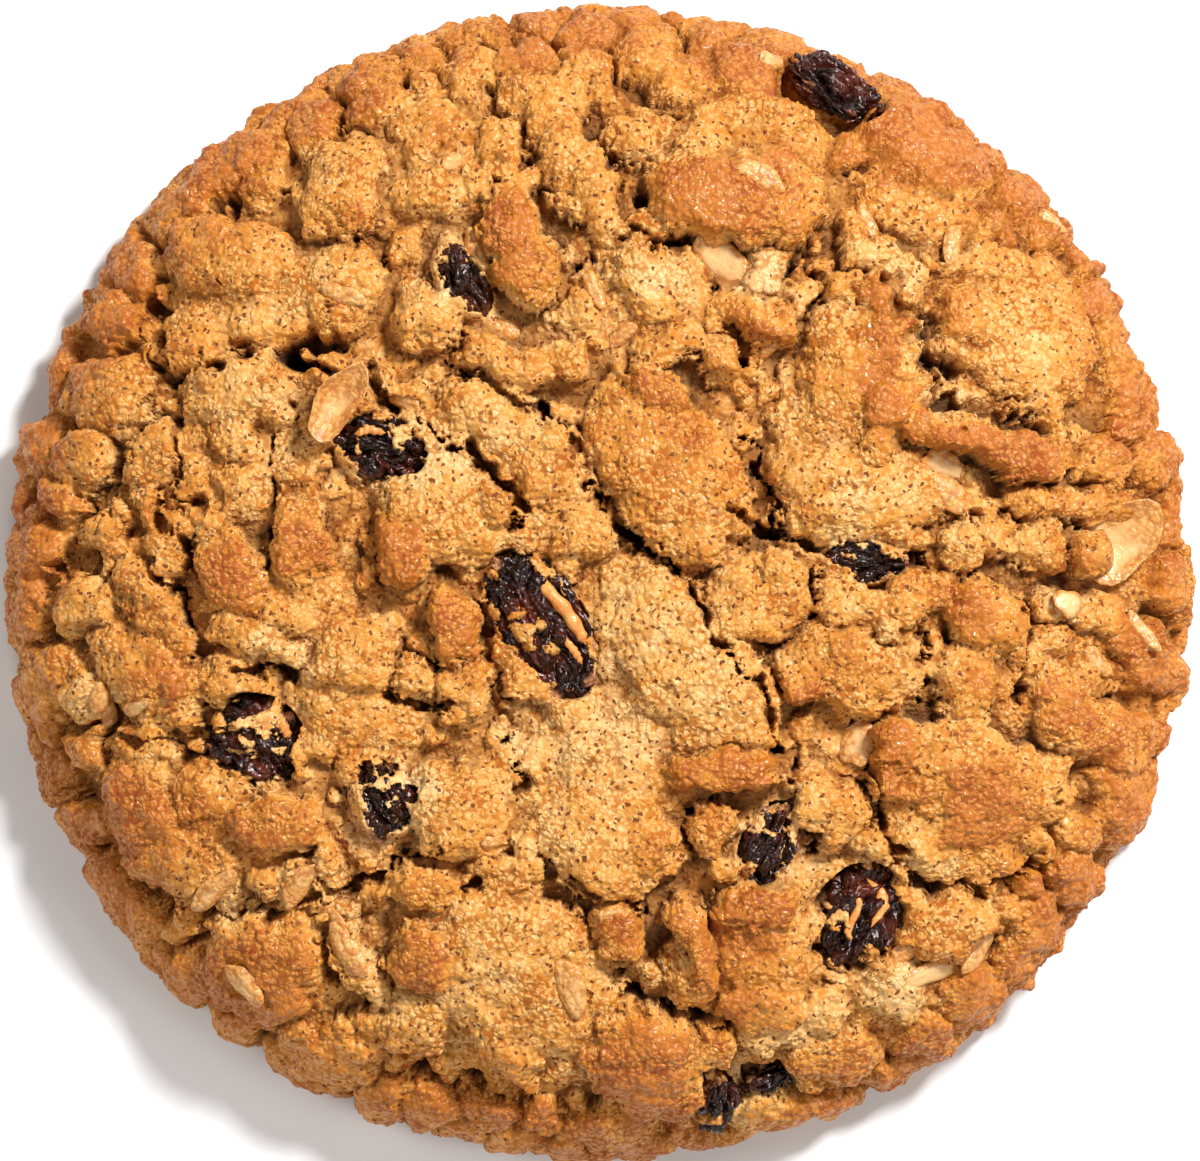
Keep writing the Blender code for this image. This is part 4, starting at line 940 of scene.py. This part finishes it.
doughMaterial = buildDoughMaterial()
third = [0, steps // 3, 2 * steps // 3, steps]
for row in range(3):
    for col in range(3):
        rows = slice(third[row], third[row + 1] + 1)
        cols = slice(third[col], third[col + 1] + 1)
        patch = buildPatch("crust" + ("South", "Middle", "North")[row] + ("West", "Centre", "East")[col], rows, cols)
        patch.data.materials.append(doughMaterial)
        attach(patch, "root")
        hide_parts("dough")
        print(patch.name, len(patch.data.polygons) * 2, "triangles")


# ---- raisins
def buildRaisinMaterial():
    kit = Kit("raisinSkin")
    black, wine, plum, crumbs = (0.007, 0.0017, 0.0012), (0.085, 0.014, 0.006), (0.034, 0.009, 0.009), (0.55, 0.28, 0.10)
    colour = kit.mix(kit.ramp(kit.noise(330, 3), 0.42, 0.72), black, wine)
    colour = kit.mix(kit.ramp(kit.noise(800, 3), 0.55, 0.80, 0, 0.6), colour, plum)
    film = kit.math("ADD", kit.attribute("film"), kit.math("MULTIPLY", kit.noise(1300, 4), 0.8))
    tint, seam, rise, hole = kit.grains(2500)
    stained = kit.mix(kit.ramp(film, 0.8, 1.15), (0.24, 0.09, 0.05), crumbs)
    # painted shade between the grains of the dough film
    stained = kit.mixMultiply(kit.math("MULTIPLY", seam, 0.6), stained, (0.5, 0.3, 0.15))
    film = kit.ramp(film, 0.72, 0.92)
    colour = kit.mix(film, colour, stained)
    kit.feed(kit.shader.inputs["Base Color"], colour)
    kit.feed(kit.shader.inputs["Roughness"], kit.math("ADD", kit.ramp(kit.noise(1500, 3), 0.3, 0.7, 0.07, 0.19),
                                                      kit.math("MULTIPLY", film, 0.25)))
    lumps = kit.math("ADD", kit.noise(2400, 4), kit.math("MULTIPLY", kit.math("MULTIPLY", film, rise), 0.5))
    kit.bump(lumps, 0.8, 0.0001)
    kit.shader.inputs["Specular IOR Level"].default_value = 0.42
    kit.shader.inputs["Specular Tint"].default_value = (1.0, 0.88, 0.84, 1)
    return kit.material


def leanMatrix(x, y, turn):
    # stands a piece on the smooth form at x, y, turned about its own upright
    radius = min(math.hypot(x, y / squeeze), form["edge"] - 0.3)
    slope = np.interp(radius, runRadius[:widest], runOut[:widest] / np.maximum(runUp[:widest], 0.2))
    around = math.atan2(y, x)
    upright = Vector((slope * math.cos(around), slope * math.sin(around), 1)).normalized()
    lean = Vector((0, 0, 1)).rotation_difference(upright).to_matrix().to_4x4()
    return lean @ Matrix.Rotation(math.radians(turn), 4, "Z")


def placeMesh(piece, points, matrix, middle):
    # points in mm in the piece's own lie, turned and moved to their place in metres
    turned = points @ np.array(matrix.to_3x3()).T + np.array(middle)
    piece.data.vertices.foreach_set("co", (turned * mm).astype(np.float32).ravel())
    piece.data.update()


def meshPoints(piece):
    points = np.empty(len(piece.data.vertices) * 3, dtype=np.float32)
    piece.data.vertices.foreach_get("co", points)
    return points.reshape(-1, 3).astype(float)


def folded(points, stretch, seed):
    # sharp creases between puffs: 0 in a crease, 1 on a puff
    shift = Vector((seed * 7.3, seed * 3.1, seed * 5.7))
    out = np.empty(len(points))
    for index, (x, y, z) in enumerate(points):
        place = Vector((x * stretch[0], y * stretch[1], z * stretch[2])) + shift
        place += 0.8 * noiseVector(place * 0.7)
        out[index] = abs(blenderNoise(place))
    return np.clip(out * 2.6, 0, 1)


def buildRaisin(number):
    length, width, turn, film = raisinShapes[number - 1]
    deselectAll()
    bpy.ops.mesh.primitive_ico_sphere_add(subdivisions=6, radius=1)
    piece = bpy.context.object
    piece.name = f"wrinkledRaisin{number:02d}"
    ball = meshPoints(piece)
    ball /= np.linalg.norm(ball, axis=1)[:, None]
    halves = np.array((length / 2, width / 2, width * raisin["thickness"] / 2))
    points = ball * halves
    outward = ball / halves
    outward /= np.linalg.norm(outward, axis=1)[:, None]
    puffs = folded(points, (0.30, 0.70, 0.70), number) ** 0.6
    folds = folded(points, (0.60, 1.5, 1.5), number + 20) ** 0.6
    creases = folded(points, (1.5, 3.0, 3.0), number + 40) ** 0.6
    bulge = raisin["furrow"] * (puffs - 0.75) + raisin["fold"] * (folds - 0.75) + raisin["crease"] * (creases - 0.75)
    points += outward * bulge[:, None]
    clinging = np.array([blenderNoise(Vector(p) * 0.6 + Vector((number, 9, 4))) for p in points])
    side = np.hypot(ball[:, 0], ball[:, 1])
    clinging = 0.3 * film - 0.35 + 0.6 * clinging + 0.5 * smoothStep(0.7, 0.98, side) + 0.2 * (puffs - 0.6)
    layer = piece.data.attributes.new("film", "FLOAT", "POINT")
    layer.data.foreach_set("value", clinging.astype(np.float32))
    middle = raisinPlace(number)
    placeMesh(piece, points, leanMatrix(middle[0], middle[1], turn), middle)
    bpy.ops.object.shade_smooth()
    piece.data.materials.append(raisinMaterial)
    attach(piece, "root")
    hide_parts(f"raisin_{number:02d}")
    return piece


raisinMaterial = buildRaisinMaterial()
for number in range(1, len(raisinShapes) + 1):
    buildRaisin(number)
print("raisins:", len(raisinShapes))


# ---- oat flakes
def buildOatMaterial():
    kit = Kit("rolledOat")
    cream, straw, rimmed = (0.70, 0.44, 0.19), (0.66, 0.36, 0.115), (0.58, 0.22, 0.035)
    tint, seam, rise, hole = kit.grains(2300)
    colour = kit.mix(kit.ramp(kit.noise(420, 4), 0.35, 0.7), cream, straw)
    coatAndShade = kit.ramp(kit.math("ADD", kit.attribute("rim"), kit.math("MULTIPLY", kit.noise(700, 3), 0.9)), 0.62, 1.0)
    # painted shade between the grains of the dough coat
    coated = kit.mixMultiply(kit.math("MULTIPLY", seam, 0.6), kit.mix(tint, straw, rimmed), (0.5, 0.3, 0.12))
    colour = kit.mix(coatAndShade, colour, coated)
    kit.feed(kit.shader.inputs["Base Color"], colour)
    kit.feed(kit.shader.inputs["Roughness"], kit.ramp(kit.noise(900, 2), 0.3, 0.7, 0.25, 0.45))
    streaks = kit.math("ADD", kit.noise(1500, 4), kit.math("MULTIPLY", kit.math("MULTIPLY", coatAndShade, rise), 0.6))
    kit.bump(streaks, 0.7, 0.00016)
    return kit.material


def flakeMesh(length, width, bend, coatAndShade, chance):
    deselectAll()
    bpy.ops.mesh.primitive_uv_sphere_add(segments=24, ring_count=10, radius=1)
    piece = bpy.context.object
    ball = meshPoints(piece)
    around = np.arctan2(ball[:, 1], ball[:, 0])
    first, second, third = chance.uniform(0, 6.28, 3)
    ripple = 1 + 0.08 * np.cos(2 * around + first) + 0.07 * np.cos(3 * around + second) + 0.05 * np.cos(5 * around + third)
    points = ball * np.array((length / 2, width / 2, flake["thickness"] / 2))
    points[:, :2] *= ripple[:, None]
    out = np.hypot(ball[:, 0], ball[:, 1])
    if bend > 1:
        # a broad bowl with creases that spread like a fan; its far side is painted golden in the coated colour, as
        # painted shade
        fan = np.hypot(ball[:, 0] + 0.7, ball[:, 1] - 0.5)
        points[:, 2] += bend * (out ** 2 - 0.4) + 0.07 * np.sin(9 * np.arctan2(ball[:, 1] - 0.5, ball[:, 0] + 0.7)) * fan
        coatAndShade = coatAndShade + 0.55 * smoothStep(-0.1, 0.9, 0.75 * ball[:, 0] + 0.65 * ball[:, 1])
    else:
        points[:, 2] += bend * (ball[:, 1] ** 2 - 0.4) - 0.12 * np.exp(-(ball[:, 1] / 0.18) ** 2) * (1 - out ** 2)
        points[:, 2] += 0.08 * np.sin(5 * ball[:, 0] + first) * ball[:, 1]
    layer = piece.data.attributes.new("rim", "FLOAT", "POINT")
    layer.data.foreach_set("value", (coatAndShade + 0.6 * smoothStep(0.6, 1.0, out)).astype(np.float32))
    return piece, points


oatMaterial = buildOatMaterial()
scattered = []
for node, x, y, length, width, turn, lean, stand in flakeLies:
    coatAndShade = 0.2 if stand > 0.12 else 0.45 + 0.2 * (stand < 0)
    piece, points = flakeMesh(length, width, 1.3 if length > 6 else -0.3, coatAndShade, flakeChance)
    matrix = bedMatrix(settled, x, y, turn, lean, stand, 0.8 if length > 5 else 0.3)
    matrix.translation.z = min(matrix.translation.z, form["top"] - 0.6)
    placeMesh(piece, points, matrix, matrix.translation)
    if node:
        piece.name = "largeOatFlake" + node[-2:]
        bpy.ops.object.shade_smooth()
        piece.data.materials.append(oatMaterial)
        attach(piece, "root")
        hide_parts(node)
    else:
        scattered.append(piece)
deselectAll()
for piece in scattered:
    piece.select_set(True)
bpy.context.view_layer.objects.active = scattered[0]
bpy.ops.object.join()
oats = bpy.context.object
oats.name = "scatteredOats"
bpy.ops.object.shade_smooth()
oats.data.materials.clear()
oats.data.materials.append(oatMaterial)
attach(oats, "root")
print("oat flakes:", len(nodeFlakes), "large,", len(scattered), "small")


# ---- strips of dough baked on over the raisins: width, and points as x, y over the raisin's number
strips = [
    (4, 1.05, [(-4.9, 1.2), (-3.9, -0.5), (-2.6, -1.9), (-1.5, -3.6), (-1.0, -4.6)]),
    (4, 0.6, [(-2.7, -4.0), (-1.9, -5.0), (-1.3, -6.0)]),
    (4, 0.7, [(-6.4, -3.4), (-5.6, -3.9), (-4.6, -4.6)]),
    (9, 0.85, [(19.7, -21.8), (20.8, -22.8), (21.0, -24.0), (20.0, -25.5)]),
    (9, 0.55, [(18.9, -22.4), (19.2, -23.8), (18.3, -25.8), (18.6, -26.5)]),
    (6, 0.9, [(-24.6, -9.4), (-23.6, -10.4), (-22.9, -11.6)]),
    (3, 0.7, [(-18.3, 10.9), (-17.2, 11.4), (-15.8, 11.1)]),
]


def buildStrips():
    pieces = []
    for number, width, points in strips:
        deselectAll()
        bpy.ops.mesh.primitive_uv_sphere_add(segments=16, ring_count=40, radius=1)
        piece = bpy.context.object
        ball = meshPoints(piece)
        along = np.arccos(np.clip(ball[:, 2], -1, 1)) / math.pi
        spine = np.array([seenFrom(x, y) for x, y in points])
        share = np.linspace(0, 1, len(spine))
        sx, sy = np.interp(along, share, spine[:, 0]), np.interp(along, share, spine[:, 1])
        d, top = overRaisin(number, sx, sy)
        heading = math.atan2(*(spine[-1] - spine[0])[::-1])
        fat = width / 2 * (0.55 + 0.45 * np.sin(math.pi * along)) * (1 + 0.12 * np.sin(along * 31))
        length = np.maximum(np.hypot(ball[:, 0], ball[:, 1]), 1e-6)
        tip = np.minimum(length * 2.2, 1)
        across, up = ball[:, 0] / length * fat * tip, ball[:, 1] / length * fat * 0.7 * tip
        placed = np.stack((sx - across * math.sin(heading), sy + across * math.cos(heading), top + 0.02 + up), axis=1)
        piece.data.vertices.foreach_set("co", (placed * mm).astype(np.float32).ravel())
        pieces.append(piece)
    deselectAll()
    for piece in pieces:
        piece.select_set(True)
    bpy.context.view_layer.objects.active = pieces[0]
    bpy.ops.object.join()
    joined = bpy.context.object
    joined.name = "doughStrips"
    bpy.ops.object.mode_set(mode="EDIT")
    bpy.ops.mesh.select_all(action="SELECT")
    bpy.ops.mesh.normals_make_consistent(inside=False)
    bpy.ops.object.mode_set(mode="OBJECT")
    bpy.ops.object.shade_smooth()
    kit = Kit("smoothDough")
    colour = kit.mix(kit.ramp(kit.noise(900, 3), 0.35, 0.7), (0.60, 0.20, 0.035), (0.70, 0.30, 0.075))
    kit.feed(kit.shader.inputs["Base Color"], colour)
    kit.feed(kit.shader.inputs["Roughness"], kit.ramp(kit.noise(1500, 3), 0.3, 0.7, 0.2, 0.4))
    kit.bump(kit.noise(1900, 3), 0.7, 0.0002)
    joined.data.materials.clear()
    joined.data.materials.append(kit.material)
    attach(joined, "root")
    print("dough strips:", len(strips))


buildStrips()


# ---- underside
def buildUnderside():
    deselectAll()
    radius = form["edge"] - form["footTuck"] + 0.05
    bpy.ops.mesh.primitive_grid_add(x_subdivisions=150, y_subdivisions=150, size=2)
    piece = bpy.context.object
    piece.name = "bakedUnderside"
    points = meshPoints(piece)
    out = np.abs(points[:, :2]).max(axis=1)
    length = np.maximum(np.hypot(points[:, 0], points[:, 1]), 1e-9)
    disc = points[:, :2] * (out / length)[:, None] * radius
    disc[:, 1] *= squeeze
    dimple = np.abs(noise(disc[:, 0], disc[:, 1], 2.2, 61)) + 0.5 * np.abs(noise(disc[:, 0], disc[:, 1], 0.9, 62))
    points[:, :2] = disc
    points[:, 2] = 0.5 * dimple * smoothStep(1.0, 0.96, out) + 0.2 * (1 - out ** 2)
    piece.data.vertices.foreach_set("co", (points * mm).astype(np.float32).ravel())
    bpy.ops.object.mode_set(mode="EDIT")
    bpy.ops.mesh.select_all(action="SELECT")
    bpy.ops.mesh.flip_normals()
    bpy.ops.object.mode_set(mode="OBJECT")
    bpy.ops.object.shade_smooth()
    kit = Kit("bakedBase")
    colour = kit.mix(kit.ramp(kit.noise(90, 4), 0.35, 0.7), (0.40, 0.14, 0.025), (0.26, 0.075, 0.012))
    colour = kit.mix(kit.ramp(kit.noise(900, 3), 0.45, 0.7, 0, 0.6), colour, (0.52, 0.22, 0.05))
    kit.feed(kit.shader.inputs["Base Color"], colour)
    kit.feed(kit.shader.inputs["Roughness"], kit.ramp(kit.noise(700, 3), 0.3, 0.7, 0.5, 0.8))
    kit.bump(kit.noise(1400, 4), 0.7, 0.0002)
    piece.data.materials.append(kit.material)
    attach(piece, "root")
    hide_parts("dough")
    print("underside:", len(piece.data.polygons) * 2, "triangles")


buildUnderside()


# ---- studio
def buildStudio():
    deselectAll()
    paths = bpy.context.scene.cycles
    paths.max_bounces = 4
    paths.diffuse_bounces = 3
    paths.glossy_bounces = 2
    paths.caustics_reflective = False
    paths.caustics_refractive = False
    bpy.ops.mesh.primitive_plane_add(size=3, location=(0, 0, 0))
    floor = bpy.context.object
    floor.name = "studioFloor"
    material, nodes, links = newMaterial("paleFloor")
    nodes["Principled BSDF"].inputs["Base Color"].default_value = (*studio["floorColour"], 1)
    nodes["Principled BSDF"].inputs["Roughness"].default_value = 0.9
    floor.data.materials.append(material)
    for name, turn, rise, away, size, power in studio["lights"]:
        light = bpy.data.lights.new(name, "AREA")
        light.shape = "DISK"
        light.size = size
        light.energy = power
        lamp = bpy.data.objects.new(name, light)
        bpy.context.scene.collection.objects.link(lamp)
        turn, rise = math.radians(turn), math.radians(rise)
        lamp.location = (away * math.cos(rise) * math.cos(turn), away * math.cos(rise) * math.sin(turn),
                         away * math.sin(rise))
        lamp.rotation_euler = (math.pi / 2 - rise, 0, turn + math.pi / 2)
    world = bpy.data.worlds.new("softSky")
    bpy.context.scene.world = world
    world.use_nodes = True
    world.node_tree.nodes["Background"].inputs["Color"].default_value = (1.0, 0.95, 0.88, 1)
    world.node_tree.nodes["Background"].inputs["Strength"].default_value = studio["skyStrength"]
    lens = bpy.data.cameras.new("overhead")
    camera = bpy.data.objects.new("overhead", lens)
    bpy.context.scene.collection.objects.link(camera)
    camera.location = (*studio["middle"], studio["cameraHeight"])
    lens.sensor_width = 36
    lens.lens = 36 * (studio["cameraHeight"] - form["belly"] * mm) / studio["frameWidth"]
    lens.clip_start = 0.05
    lens.clip_end = 10
    bpy.context.scene.camera = camera
    bpy.context.scene.view_settings.view_transform = "Standard"


buildStudio()
